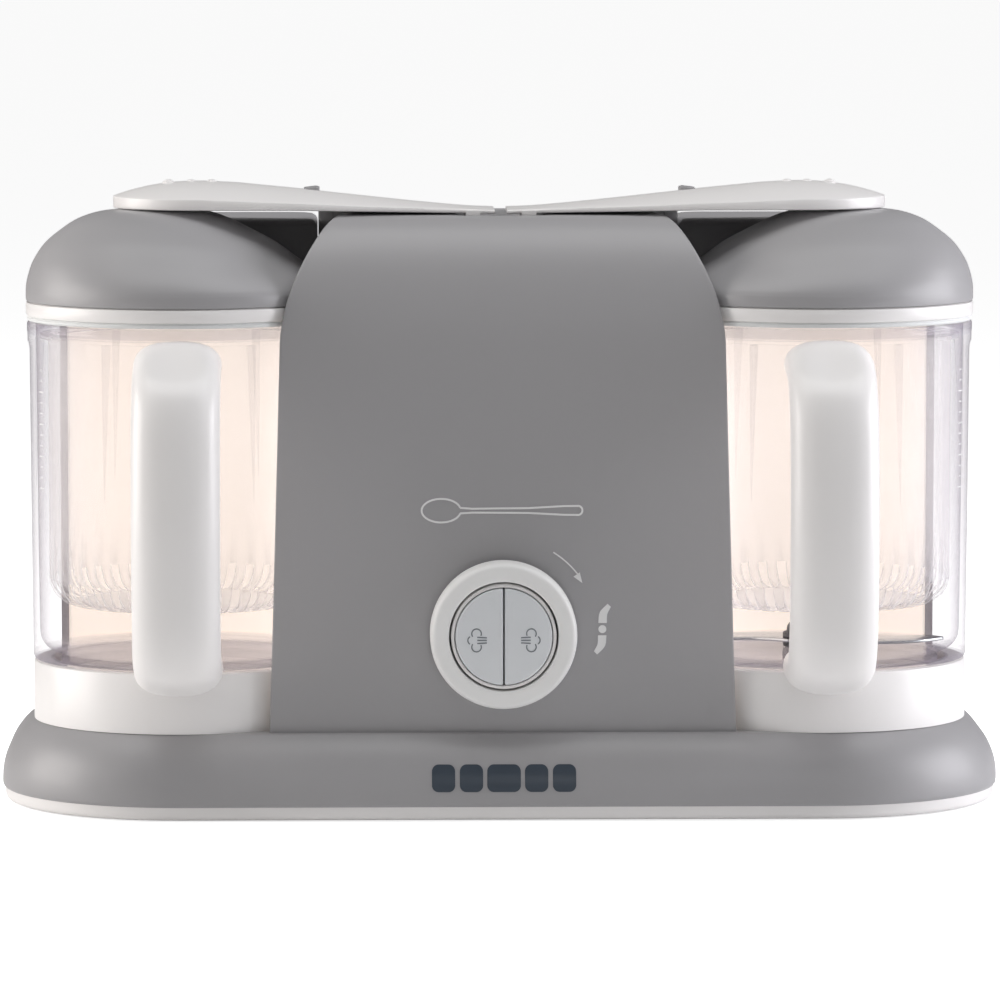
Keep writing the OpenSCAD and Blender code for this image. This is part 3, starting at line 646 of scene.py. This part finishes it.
def cut_out(obj, cutter_bm):
    """Takes a cutter, in bench millimetres, out of a finished piece."""
    cutter = piece("cutter", cutter_bm, obj.data.materials[0], "housing")
    tool = obj.modifiers.new("pocket", "BOOLEAN")
    tool.object = cutter
    tool.solver = "EXACT"
    bpy.context.view_layer.update()
    result = bpy.data.meshes.new_from_object(obj.evaluated_get(bpy.context.evaluated_depsgraph_get()))
    obj.modifiers.remove(tool)
    obj.data = result
    bpy.data.objects.remove(cutter)


class FOOD_OT_housing(bpy.types.Operator):
    """Make the housing that curves over between the bowls, and the walls of their bays"""
    bl_idname = "food_maker.housing"
    bl_label = "Housing"

    def execute(self, context):
        shell = piece("front_housing_moulding", front_housing(), abs_satin_grey(), "housing",
                      ["front_housing"], angle=30)
        pocket = slab([(-POCKET_X, POCKET_FRONT), (POCKET_X, POCKET_FRONT), (POCKET_X, POCKET_BACK),
                       (-POCKET_X, POCKET_BACK)], 20)
        cut_out(shell, moved(pocket, (0, 0, POCKET_FLOOR)))
        rounded_copy("rear_housing", 0.8, abs_satin_grey())
        rounded_copy("cable_gland", 0.5, nylon_black())
        # The bay walls get the liner with its painted glow
        dress(pp_liner_painted_glow(), "bay_wall_left", "bay_wall_right")
        dress(drawn_steel(), "hinge_pins", "water_tank_left", "water_tank_right")
        return {"FINISHED"}


# ------------------------------------------------------------------ collars, bowls, baskets


def at_bowl(bm):
    return moved(bm, (BOWL_X, 0, 0))


def collar():
    r = COLLAR_HIGH.x - BOWL_X
    low, high = COLLAR_LOW.z, COLLAR_HIGH.z
    ring = turned([(r - 4, low), (r, low), (r, high - 1.2), (r - 0.35, high - 0.35), (r - 1.2, high),
                   (r - 6.6, high), (r - 6.8, high - 2.2), (r - 4, high - 2.4)], 128)
    hole, edge, under, top = 8.05, r - 3.5, 44, 47
    deck = turned([(hole, under), (edge, under), (edge, top), (hole, top)], 96)
    return at_bowl(joined(ring, deck))


def bowl_profile():
    """The section of a bowl's wall and floor, from the spindle tube out and up to the rim."""
    r = BOWL_HIGH.x - BOWL_X - 0.9
    wall = 2.8
    foot, rim = COLLAR_HIGH.z + 0.3, BOWL_HIGH.z
    floor = foot + 2.7
    inner = r - wall
    outside = [(5.5, foot), (48.5, foot), (48.5, foot - 6.4), (51.5, foot - 6.4), (51.5, foot),
               (r - 2.2, foot), (r - 1.2, foot + 0.4), (r - 0.75, foot + 1.4), (r - 0.5, 100),
               (r - 0.1, 179), (r + 0.2, 181.6), (r + 0.7, 182.6), (r + 0.7, 185.9),
               (r + 0.85, 186.5), (r + 0.85, rim - 0.6), (r + 0.4, rim)]
    inside = [(inner + 0.7, rim), (inner + 0.3, rim - 0.6), (inner + 0.1, 182), (inner - 0.3, 100),
              (inner - 0.6, floor + 9)]
    fillet = [(inner - 8.6 + 8 * math.cos(math.radians(a)), floor + 8 + 8 * math.sin(math.radians(a)))
              for a in range(-15, -91, -15)]
    return outside + inside + fillet + [(9, floor), (9, floor + 6.5), (5.5, floor + 6.5)]


def bowl_ribs():
    """Six fins inside the wall that hold the basket up and run out to a point downwards."""
    inner = BOWL_HIGH.x - BOWL_X - 3.7
    top, foot, point = 183.4, 122, 118
    thick, thinnest = 2, 0.15
    ribs = []
    for i in range(6):
        fin = slab([(inner + 0.6, foot), (inner + 0.6, top), (inner - 3, top), (inner - 2.2, 170)],
                   thick)
        fin.transform(Matrix.Rotation(math.radians(90), 4, "X")
                      @ Matrix.Translation((0, 0, -thick / 2)))
        for vert in fin.verts:
            vert.co.y *= max(thinnest, (vert.co.z - point) / (top - point))
        ribs.append(moved(fin, turn=60 * i))
    return ribs


def bowl():
    return at_bowl(joined(turned(bowl_profile(), 128), *bowl_ribs()))


def basket():
    """A turned skin with its slots left open, thickened inwards by a modifier afterwards."""
    slots, per_slot = 40, 4
    r = 53.0
    fillet = 10.5
    low, high = BASKET_LOW.z, BASKET_HIGH.z
    curve = [(r - fillet + fillet * math.sin(math.radians(a)),
              low + fillet - fillet * math.cos(math.radians(a))) for a in range(0, 91, 15)]
    profile = [(0, low), (12, low), (24, low), (34, low), (39, low)] + curve + [
        (r, low + 30), (r, low + 60), (r, high - 2.4), (r + 0.4, high - 1.8), (r + 3.2, high - 1.5),
        (r + 3.2, high)]
    bm = turned(profile, slots * per_slot, closed=False)
    low_slot, high_slot = 38.5, low + fillet - 1.2

    def in_slot(face):
        mid = face.calc_center_median()
        turn = math.degrees(math.atan2(mid.y, mid.x)) % (360 / slots)
        wide = math.hypot(mid.x, mid.y)
        return turn < 360 / slots * 0.5 and wide > low_slot and mid.z < high_slot

    bmesh.ops.delete(bm, geom=[f for f in bm.faces if in_slot(f)], context="FACES")
    return at_bowl(bm)


def ticks():
    """A scale of short printed lines up the outer side of a bowl."""
    r = BOWL_HIGH.x - BOWL_X - 0.78
    rows = []
    for i in range(12):
        z = 126 + 4.2 * i
        x, y = (1.7 if i % 3 == 0 else 1.0), 0.22
        mark = slab([(-x, -y), (x, -y), (x, y), (-x, y)], 0.08)
        mark.transform(Matrix.Rotation(math.radians(-26), 4, "Z") @ Matrix.Translation((r + 0.1, 0, z))
                       @ Matrix.Rotation(math.radians(90), 4, "Y")
                       @ Matrix.Rotation(math.radians(90), 4, "Z"))
        rows.append(mark)
    return at_bowl(joined(*rows))


class FOOD_OT_bowls(bpy.types.Operator):
    """Make the clear bowls, their baskets, and the collars that they lock on"""
    bl_idname = "food_maker.bowls"
    bl_label = "Bowls"

    def execute(self, context):
        pair("collar_moulding", collar, pp_gloss_white(), "housing", "collar", "shell_white")
        pair("bowl_moulding", bowl, copolyester_clear(), "bowl", "bowl", "bowl_clear")
        pair("basket_moulding", basket, pp_frosted(), "bowl", "basket", "basket_frosted")
        for word in SIDES:
            wall = bpy.data.objects[f"basket_moulding_{word}"].modifiers.new("wall", "SOLIDIFY")
            wall.thickness = 1.4 * MM
            wall.offset = -1
            wall.use_even_offset = True
        piece("bowl_scale_right", ticks(), pale_ink(), "bowl_right")
        piece("bowl_scale_left", ticks(), pale_ink(), "bowl_left", side=-1)
        rounded_copy("seat_cap", 0.6, pp_gloss_white())
        return {"FINISHED"}


# ------------------------------------------------------------------ handles


def grip_section(half_w, half_t, points=28):
    """A full oval, flatter across than round."""
    section = []
    for i in range(points):
        a = 2 * math.pi * i / points
        c, s = math.cos(a), math.sin(a)
        section.append((half_w * math.copysign(abs(c) ** 0.8, c),
                        half_t * math.copysign(abs(s) ** 0.88, s)))
    return section


def handle():
    """A bowed grip swept from the rim out, down and back in to the foot of the bowl."""
    low, high = box_mm("handle_right")
    half_t = sizes().grip_depth / 2
    reach = ROW_Y - low.y
    half_w = (high.x - low.x) / 2
    mid = -(reach - half_t)
    wall = BOWL_HIGH.x - BOWL_X - 0.3
    # Points of (y, z) down the middle of the grip
    path = smooth_path([(-56, 176.6), (-70, 175.6), (-82, 170.6), (mid + 6.6, 160.5), (mid + 2.4, 146),
                        (mid, 120), (mid + 0.8, 96), (mid + 3.2, 77), (mid + 10, 65.4),
                        (-74, 59.8), (-56, 59.2)], 4)
    rings = []
    last = len(path) - 1
    for i, here in enumerate(path):
        along = (path[min(i + 1, last)] - path[max(i - 1, 0)]).normalized()
        out = Vector((along.y, -along.x))
        share = i / last
        end_thinning = 0.1 * math.cos(2 * math.pi * share) ** 2 * abs(2 * share - 1)
        section = grip_section(half_w, half_t * (1 - end_thinning))
        ring = [[u, here.x + out.x * v, here.y + out.y * v] for u, v in section]
        if i in (0, last):
            for point in ring:
                point[1] = -math.sqrt(wall ** 2 - point[0] ** 2)
        rings.append([tuple(p) for p in ring])
    rings = rings[:1] + [r for r in rings[1:-1] if min(p[1] for p in r) < -wall - 4] + rings[-1:]
    bm = loft(rings)
    dip_y, dip_wide, dip_long, dip_from_z = -84, 11.5, 12, 165
    for vert in bm.verts:
        if abs(vert.co.y) < wall:
            vert.co.y = min(vert.co.y, -math.sqrt(max(1, wall ** 2 - vert.co.x ** 2)))
        across = (vert.co.x / dip_wide) ** 2 + ((vert.co.y - dip_y) / dip_long) ** 2
        if vert.co.z > dip_from_z:
            vert.co.z -= sizes().thumb_dip * math.exp(-across ** 1.5)
    return at_bowl(bm)


class FOOD_OT_handles(bpy.types.Operator):
    """Make the bowls' handles with the strips inside their grips"""
    bl_idname = "food_maker.handles"
    bl_label = "Handles"

    def execute(self, context):
        pair("handle_moulding", handle, pp_gloss_white(), "bowl", "handle", "shell_white")
        for word in SIDES:
            rounded_copy(f"handle_insert_{word}", 0.6, abs_matt_knob())
        return {"FINISHED"}


# ------------------------------------------------------------------ blades and drive


class FOOD_OT_drive(bpy.types.Operator):
    """Finish the blades, the drive under them and what the housing holds"""
    bl_idname = "food_maker.drive"
    bl_label = "Blades and drive"

    def execute(self, context):
        rounded_copy("blades", 0.25, ground_steel())
        rounded_copy("blade_hub", 0.5, nylon_black())
        rounded_copy("blade_nut", 0.3, nylon_black())
        dress(drawn_steel(), "drive_spindle", "motor_rotor", "button_spring_left",
              "button_spring_right")
        dress(nylon_black(), "motor_pulley", "drive_pulley", "rotary_switch", "thermostats")
        dress(rubber_black(), "drive_belt")
        dress(plated_steel(), "motor_body", "motor_bracket", "heating_elements")
        dress(sintered_bronze(), "spindle_bearings")
        dress(board_green(), "control_board")
        return {"FINISHED"}


# ------------------------------------------------------------------ lids

# Slices of a dome: height over its foot, radius, and how far its middle moves outwards
DOME_SLICES = [(0, 61.6, 0), (4.3, 61.6, 0), (6.8, 60.6, 0.8), (10.4, 58, 2.6), (15.9, 52.7, 5.9),
               (22.8, 45.6, 8.3), (28.4, 37, 10.2), (32.3, 29.9, 11.1), (35, 22, 10.9),
               (36.2, 12, 10.9)]


def circle_ring(x, r, z, count=96):
    return [(x + r * math.cos(2 * math.pi * k / count), r * math.sin(2 * math.pi * k / count), z)
            for k in range(count)]


def dome():
    foot = BAND_HIGH.z
    rows = smooth_path([Vector(s) for s in DOME_SLICES[1:]], 4)
    skin = [(0, 60.9, 0), (0.35, 61.45, 0), (1.0, 61.6, 0)] + [tuple(p) for p in rows]
    rings = [circle_ring(BOWL_X + out, r, foot + up) for up, r, out in skin]
    inside = [circle_ring(BOWL_X, 58.8, foot + 3), circle_ring(BOWL_X, 58.8, foot)]
    return loft(inside + rings)


def lid_band():
    r = BAND_HIGH.x - BOWL_X
    low, high = BAND_LOW.z, BAND_HIGH.z
    return at_bowl(turned([(0, low + 2), (49.4, low + 2), (50, low + 1.6), (50, low + 0.3),
                           (50.5, low), (r - 1.1, low), (r - 0.3, low + 0.35), (r, low + 1.1),
                           (r, high - 0.9), (r - 0.3, high - 0.35), (r - 1.2, high - 0.3),
                           (r - 1.3, high), (r - 4, high), (r - 4, high - 1.2), (0, high - 1.2)],
                          128, closed=False))


def lid_gasket():
    corner_low, corner_high = box_mm("lid_gasket_right")
    low, high = corner_low.z, corner_high.z
    r = corner_high.x - BOWL_X
    return at_bowl(turned([(51, low), (r - 0.5, low), (r, low + 0.5), (r, high - 0.6),
                           (r - 0.5, high), (51, high)], 128))


# Where the arm's round end starts, its crest's height, the hinge axis and a hinge eye's length
ARM_CREST_X = 118.0
CREST_Z = 244.8
HINGE_X, HINGE_Z = 11, 228.5
EYE_LONG = 10


def arm():
    """A white leaf: wide and crowned over the dome, thin and narrow at the hinge.

    Each station along it has half a width, the height of its lower face, that of its edge over
    this, and the crown that rises from edge to edge.
    """
    inner_x, outer_x = 2.5, ARM_HIGH.x
    round_x, round_r, mid_y = ARM_CREST_X, outer_x - ARM_CREST_X, 10.0
    hinge_half, hinge_y = 17, -3
    low_in, low_out = HOUSING_HIGH.z + 0.4, box_mm("dome_right")[1].z
    rings = []
    stations = [inner_x + (round_x - inner_x) * i / 24 for i in range(25)]
    stations += [round_x + round_r * math.sin(math.radians(a)) for a in range(6, 85, 6)]
    stations.append(outer_x - 0.12)
    for x in stations:
        t = min(1, (x - inner_x) / (round_x - inner_x))
        if x <= round_x:
            half = hinge_half + (round_r - hinge_half) * (0.5 - 0.5 * math.cos(math.pi * t)) ** 0.85
            centre = hinge_y + (mid_y - hinge_y) * t
            fall = 1.0
        else:
            out = min(1, (x - round_x) / round_r)
            half = max(1.2, round_r * math.sqrt(max(0, 1 - out * out)))
            centre = mid_y
            fall = max(0.0, 1 - out ** 2.2)
        low = low_in + (low_out - low_in) * min(1, (x - inner_x) / 78)
        edge = 1.5 + 3.0 * t ** 1.6
        crown = (CREST_Z - low_out - 4.4) * min(1, max(0.0, (x - inner_x) / 102)) * fall
        lip = min(0.9, edge * 0.4)
        side = [(half - 0.7, 0), (half - 0.1, 0.35), (half, 0.8), (half, edge - lip),
                (half - 0.25, edge - lip * 0.3), (half - lip, edge)]
        top = [(u * (half - lip), edge + crown * (1 - abs(u) ** 1.8))
               for u in (-1 + 2 * i / 16 for i in range(1, 16))]
        section = [(-w, up) for w, up in side] + top + side[::-1]
        rings.append([(x, centre + w, low + up) for w, up in section])
    leaf = loft(rings)
    dots = [moved(half_ball(2.6), (round_x + 9 + x, mid_y - 1, CREST_Z - 1.25)) for x in (-13, -5, 4)]
    knuckles = [knuckle(y) for y in (-20.5, 6.5)]
    return joined(leaf, *dots, *knuckles)


def half_ball(r):
    """A low round pip."""
    profile = [(r * math.cos(math.radians(a)), 0.75 * r * math.sin(math.radians(a)))
               for a in range(0, 91, 15)]
    return turned([(0, -0.6), (r, -0.6)] + profile, 24, closed=False)


def knuckle(y):
    """A hinge eye of the arm, with the web that carries it."""
    bore, outer, bevel = 2.05, 4, 0.3
    eye = turned([(bore, bevel), (bore + bevel, 0), (outer - bevel, 0), (outer, bevel),
                  (outer, EYE_LONG - bevel), (outer - bevel, EYE_LONG), (bore + bevel, EYE_LONG),
                  (bore, EYE_LONG - bevel)], 40)
    eye.transform(Matrix.Translation((HINGE_X, y + EYE_LONG, HINGE_Z))
                  @ Matrix.Rotation(math.radians(90), 4, "X"))
    low, high = HINGE_X - 2.8, HINGE_X + 2.8
    web = slab([(low, y), (high, y), (high, y + EYE_LONG), (low, y + EYE_LONG)], 3.0)
    return joined(eye, moved(web, (0, 0, HINGE_Z + 2.7)))


# The cover's outer end leans in above this height, by so much for each millimetre
COVER_SLOPE_Z, COVER_SLOPE = 212, 26 / 16.5


def tank_cover():
    """The grey box behind a dome, hollowed at its front to sit against it."""
    low, high = box_mm("tank_cover_right")
    x0, x1 = low.x, high.x
    y0, y1 = low.y - ROW_Y, high.y - ROW_Y
    corner = 12.0

    def outline(inset, z, front):
        end = x1 - COVER_SLOPE * max(0, z - COVER_SLOPE_Z)
        pts = arc(end - corner, y1 - corner, corner - inset, 0, 90, 8)
        pts += arc(x0 + corner, y1 - corner, corner - inset, 90, 180, 8)
        xs = [x0 + inset + (end - x0 - 2 * inset) * i / 24 for i in range(25)]
        return [(x, y, z) for x, y in pts + [(x, max(y0 + inset, front(x))) for x in xs]]

    def against(z):
        """Where the dome's skin stands at height z, as a function of x."""
        up = min(max(z - BAND_HIGH.z, 0), 36)
        rows = DOME_SLICES
        k = max(i for i in range(len(rows) - 1) if rows[i][0] <= up)
        t = (up - rows[k][0]) / (rows[k + 1][0] - rows[k][0])
        r = rows[k][1] + t * (rows[k + 1][1] - rows[k][1]) + 0.3
        cx = BOWL_X + rows[k][2] + t * (rows[k + 1][2] - rows[k][2])
        return lambda x: math.sqrt(max(0, r * r - (x - cx) ** 2))

    rings = [outline(0.8, low.z, against(low.z)), outline(0.2, low.z + 0.25, against(low.z)),
             outline(0, low.z + 0.9, against(low.z))]
    steps, edge = 14, 3
    top = high.z - edge
    rings += [outline(0, low.z + 0.9 + (top - low.z - 0.9) * i / steps,
                      against(low.z + (top - low.z) * i / steps)) for i in range(1, steps + 1)]
    for turn in (math.radians(a) for a in range(15, 91, 15)):
        rings.append(outline(edge * (1 - math.cos(turn)), top + edge * math.sin(turn), against(top)))
    return loft(rings)


class FOOD_OT_lids(bpy.types.Operator):
    """Make the domes, their bands and seals, the tank covers and the arms"""
    bl_idname = "food_maker.lids"
    bl_label = "Lids"

    def execute(self, context):
        pair("dome_moulding", dome, abs_satin_grey(), "lid", "dome", "shell_grey")
        pair("lid_band_moulding", lid_band, pp_gloss_white(), "lid", "lid_band", "shell_white")
        pair("lid_gasket_moulding", lid_gasket, silicone_white(), "lid", "lid_gasket",
             "seal_silicone")
        pair("tank_cover_moulding", tank_cover, abs_satin_grey(), "lid", "tank_cover", "shell_grey")
        pair("arm_moulding", arm, pp_gloss_white(), "lid", "arm", "shell_white")
        for word in SIDES:
            rounded_copy(f"tank_seal_{word}", 0.4, silicone_white())
            rounded_copy(f"release_button_{word}", 0.4, abs_satin_grey())
        return {"FINISHED"}


# ------------------------------------------------------------------ knob

KNOB_Z = middle("knob_ring").z
KNOB_Y = face_y(KNOB_Z)


def out_of_face(bm):
    """Turns +Z to point out of the front and puts the origin at the knob's centre."""
    bm.transform(Matrix.Translation((0, KNOB_Y, KNOB_Z)) @ Matrix.Rotation(math.radians(90), 4, "X"))
    return bm


def on_face(bm, x, z):
    """Lays a flat mark on the leaning front face, with its origin at x and z."""
    lean = math.atan(FACE_LEAN)
    bm.transform(Matrix.Translation((x, face_y(z) - 0.02, z))
                 @ Matrix.Rotation(math.radians(90) - lean, 4, "X"))
    return bm


def knob_ring():
    r = RING_HIGH.x
    front = 15.0
    return turned([(21.2, -8), (23.9, -8), (23.9, 1.3), (r - 0.4, 1.3), (r, 1.7), (r, front - 3.4),
                   (r - 0.12, front - 2.6), (r - 0.9, front - 0.55), (r - 1.5, front - 0.12),
                   (r - 2.4, front), (22.3, front), (21.75, front - 0.1), (21.35, front - 0.35),
                   (21.2, front - 0.9)], 128)


def knob_bezel():
    r, hole, front = 20.4, 19.1, 14.4
    return turned([(0, -12), (r, -12), (r, front - 0.5), (r - 0.2, front - 0.12), (r - 0.5, front),
                   (hole + 0.3, front), (hole, front - 0.3), (hole, -9.9), (0, -9.9)], 128,
                  closed=False)


def steam_button():
    """Half a round key with its edges rounded over."""
    r, gap = 18.75, 0.3
    start = math.degrees(math.asin(gap / r))
    half = slab(arc(0, 0, r, -90 + start, 90 - start, 48), 11.2)
    soften(moved(half, (0, 0, 4)), 0.7, 50, 3)
    return half


def steam_mark():
    """A puff of steam: a cloud outline, open at the side where three short lines go in."""
    line = 0.46
    puffs = [(-0.3, 2.6, 1.85, -38, 205), (1.35, 0, 1.7, -58, 58), (-0.3, -2.6, 1.85, 38, -205)]
    cloud = [stroke(arc(x, y, r, a, b, 18), line) for x, y, r, a, b in puffs]
    lines = [stroke([(-0.6, 1.2 * k), (-4.3, 1.0 * k)], line) for k in (-1, 0, 1)]
    return joined(*cloud, *lines)


class FOOD_OT_knob(bpy.types.Operator):
    """Make the turning ring, its bezel and the two steam buttons with their marks"""
    bl_idname = "food_maker.knob"
    bl_label = "Knob"

    def execute(self, context):
        piece("knob_ring_moulding", out_of_face(knob_ring()), abs_matt_knob(), "knob", ["knob_ring"])
        piece("knob_bezel_moulding", out_of_face(knob_bezel()), pp_gloss_white(), "housing",
              ["knob_bezel"])
        pair("steam_button_key", lambda: out_of_face(steam_button()), abs_button_grey(), "button",
             "steam_button", "button_grey")
        for word, side in SIDES.items():
            mark = moved(steam_mark(), (10.9, -1.3, 15.14))
            piece(f"steam_mark_{word}", out_of_face(mark), dark_ink(), f"button_{word}", side=side)
        return {"FINISHED"}


# ------------------------------------------------------------------ printed marks


def spoon_mark():
    """A spoon lying on its side, drawn in outline."""
    turns = [math.radians(14 + 332 * i / 36) for i in range(37)]
    bowl_line = [(-24 + 7.6 * math.cos(a), 4.6 * math.sin(a)) for a in turns]
    top = [(-16.7, 1.1), (-12, 0.75), (10, 0.95), (24, 1.7)] + arc(29, 0, 1.8, 75, 0, 6)
    bottom = [(x, -y) for x, y in top]
    return joined(*[stroke(line, 0.75) for line in (bowl_line, top, bottom)])


def turn_arrow():
    """The arc with an arrow head that shows which way the ring turns."""
    line = stroke(arc(0, 0, 36.8, 58, 37, 14), 0.55)
    tip, along = Vector((30.8, 19.2)), Vector((0.56, -0.83))
    across = Vector((-along.y, along.x)) * 1.5
    root = tip - along * 4
    return joined(line, slab([tip, root + across, root - across], PRINT_HIGH))


def blade_mark():
    """Two curved blades about a small disc."""
    left = smooth_path([(-1.6, 2.4), (-1.0, 6.6), (2.0, 9.9)], 6)
    right = smooth_path([(3.3, 8.7), (1.9, 5.8), (1.7, 2.4)], 6)
    blade = [tuple(p) for p in left + right]
    blades = [slab([(s * x, s * y) for x, y in blade], PRINT_HIGH) for s in (1, -1)]
    return joined(slab(arc(0, 0, 1.55, 0, 345, 23), PRINT_HIGH), *blades)


def lozenge(x, half_w, half_h, r):
    """The outline of a rectangle with rounded corners, centred at x."""
    outline = []
    for across, up, start in ((1, 1, 0), (-1, 1, 90), (-1, -1, 180), (1, -1, 270)):
        outline += arc(x + across * (half_w - r), up * (half_h - r), r, start, start + 90, 8)
    return outline


def inlay_row():
    """A row of five plain lozenges let into the front of the base, the middle one wider."""
    row = ((-23.4, 9), (-12.6, 9), (0, 13), (12.6, 9), (23.4, 9))
    return joined(*[slab(lozenge(x, width / 2, 5.2, 2.6), 0.5) for x, width in row])


# The height of the strips that the inlay is cut into, the share of its thickness that stands
# proud, and how far it is let in
INLAY_STRIP, INLAY_PROUD, INLAY_SUNK = 0.55, 0.5, 0.05


def against_base(bm, z):
    """Stands a flat row up against the base's front, following its curve."""
    for i in range(-9, 10):
        bmesh.ops.bisect_plane(bm, geom=bm.verts[:] + bm.edges[:] + bm.faces[:],
                               plane_co=(0, i * INLAY_STRIP, 0), plane_no=(0, 1, 0))
    for vert in bm.verts:
        height = z + vert.co.y
        share = min(1, max(0, (height - BASE_WIDEST_Z) / BASE_RISE))
        a = math.asin(share * math.sin(math.radians(BASE_ARC)))
        front = base_inset(a) - END_R
        vert.co = Vector((vert.co.x, front - vert.co.z * INLAY_PROUD + INLAY_SUNK, height))
    return bm


class FOOD_OT_marks(bpy.types.Operator):
    """Print the plain marks on the housing and set the inlay in the base"""
    bl_idname = "food_maker.marks"
    bl_label = "Marks"

    def execute(self, context):
        ink = pale_ink()
        piece("mark_spoon", on_face(spoon_mark(), 0, 119.5), ink, "housing")
        piece("mark_arrow", on_face(turn_arrow(), 0, KNOB_Z), ink, "housing")
        piece("mark_blade", on_face(blade_mark(), 38.6, KNOB_Z + 1.2), ink, "housing")
        piece("base_inlay_row", against_base(inlay_row(), 17.2), slate_inlay(), "housing",
              ["base_inlay"])
        return {"FINISHED"}


# ------------------------------------------------------------------ stage


def area_light(name, place, aim, width, height, power, colour="#ffffff"):
    data = bpy.data.lights.new(name, "AREA")
    data.shape = "RECTANGLE"
    data.size, data.size_y = width, height
    data.energy = power
    data.color = linear(colour)
    light = bpy.data.objects.new(name, data)
    light.location = place
    light.rotation_euler = (Vector(aim) - Vector(place)).to_track_quat("-Z", "Y").to_euler()
    bpy.context.scene.collection.objects.link(light)


def backdrop_paper():
    """Matt white paper, lifted to white where the camera sees it but lighting nothing."""
    def surface(tree, place):
        seen = add(tree, "ShaderNodeLightPath").outputs["Is Camera Ray"]
        lift = add(tree, "ShaderNodeMapRange", {"Value": seen, "To Max": 0.8}).outputs[0]
        return {"Emission Strength": lift, "Normal": grain(tree, place, 1.5, 0.02, 0.2)}
    return new_material("paper_backdrop_matt", {"Base Color": rgba(linear("#f8f8f8")),
                                                "Roughness": 0.9,
                                                "Emission Color": (1, 1, 1, 1)}, surface)


def floor_sheet():
    bm = bmesh.new()
    bmesh.ops.create_grid(bm, x_segments=2, y_segments=2, size=30)
    mesh = bpy.data.meshes.new("floor")
    bm.to_mesh(mesh)
    bm.free()
    mesh.materials.append(backdrop_paper())
    floor = bpy.data.objects.new("floor", mesh)
    bpy.context.scene.collection.objects.link(floor)


def studio_world():
    """White to look at, and a dim grey to be lit by."""
    world = bpy.data.worlds.new("studio")
    world.use_nodes = True
    tree = world.node_tree
    tree.nodes.clear()
    seen = add(tree, "ShaderNodeLightPath").outputs["Is Camera Ray"]
    strength = add(tree, "ShaderNodeMapRange", {"Value": seen, "To Min": 0.16, "To Max": 1.0})
    back = add(tree, "ShaderNodeBackground", {"Color": (1, 1, 1, 1),
                                              "Strength": strength.outputs[0]})
    add(tree, "ShaderNodeOutputWorld", {"Surface": back.outputs[0]})
    return world


class FOOD_OT_stage(bpy.types.Operator):
    """Set the floor, the soft lights and the camera"""
    bl_idname = "food_maker.stage"
    bl_label = "Stage"

    def execute(self, context):
        stage = context.scene.food_maker_stage
        row = ROW_Y * MM
        floor_sheet()
        context.scene.world = studio_world()
        aim = (0, row, 0.12)
        area_light("left", (-1.5, 0.0, 0.45), aim, 1.1, 0.9, 15.5, "#fffaf6")
        area_light("right", (1.5, 0.0, 0.45), aim, 1.1, 0.9, 18.5, "#fbfaff")
        area_light("top", (0, -0.1, 1.4), aim, 1.7, 0.8, 10)
        area_light("front", (0.5, -2.2, 0.9), aim, 0.9, 0.6, 1.6)
        camera = bpy.data.objects.new("camera", bpy.data.cameras.new("camera"))
        camera.data.lens = stage.lens
        camera.data.sensor_width = 36
        camera.data.clip_end = 50
        camera.location = (stage.sideways, row - stage.distance, stage.height)
        look = Vector((0, row, stage.aim_height)) - camera.location
        camera.rotation_euler = look.to_track_quat("-Z", "Y").to_euler()
        context.scene.collection.objects.link(camera)
        context.scene.camera = camera
        context.scene.view_settings.view_transform = "Standard"
        context.scene.cycles.transparent_max_bounces = 32
        return {"FINISHED"}


OPERATORS = (FOOD_OT_base, FOOD_OT_housing, FOOD_OT_bowls, FOOD_OT_handles, FOOD_OT_drive,
             FOOD_OT_lids, FOOD_OT_knob, FOOD_OT_marks, FOOD_OT_stage)


class FOOD_PT_panel(bpy.types.Panel):
    """Lists the sizes, the colours and the steps"""
    bl_idname = "FOOD_PT_panel"
    bl_label = "Food Maker"
    bl_space_type = "VIEW_3D"
    bl_region_type = "UI"
    bl_category = "Food Maker"

    def draw(self, context):
        scene = context.scene
        for group in (scene.food_maker_sizes, scene.food_maker_colours, scene.food_maker_stage):
            for key in group.__annotations__:
                self.layout.prop(group, key)
        for step in OPERATORS:
            self.layout.operator(step.bl_idname)


GROUPS = {"food_maker_colours": FoodMakerColours, "food_maker_sizes": FoodMakerSizes,
          "food_maker_stage": FoodMakerStage}


def register():
    for cls in (*GROUPS.values(), *OPERATORS, FOOD_PT_panel):
        bpy.utils.register_class(cls)
    for name, group in GROUPS.items():
        setattr(bpy.types.Scene, name, bpy.props.PointerProperty(type=group))


def unregister():
    for name in GROUPS:
        delattr(bpy.types.Scene, name)
    for cls in (FOOD_PT_panel, *reversed(OPERATORS), *GROUPS.values()):
        bpy.utils.unregister_class(cls)


def main():
    register()
    for step in OPERATORS:
        group, name = step.bl_idname.split(".")
        getattr(getattr(bpy.ops, group), name)()


if __name__ == "__main__":
    main()
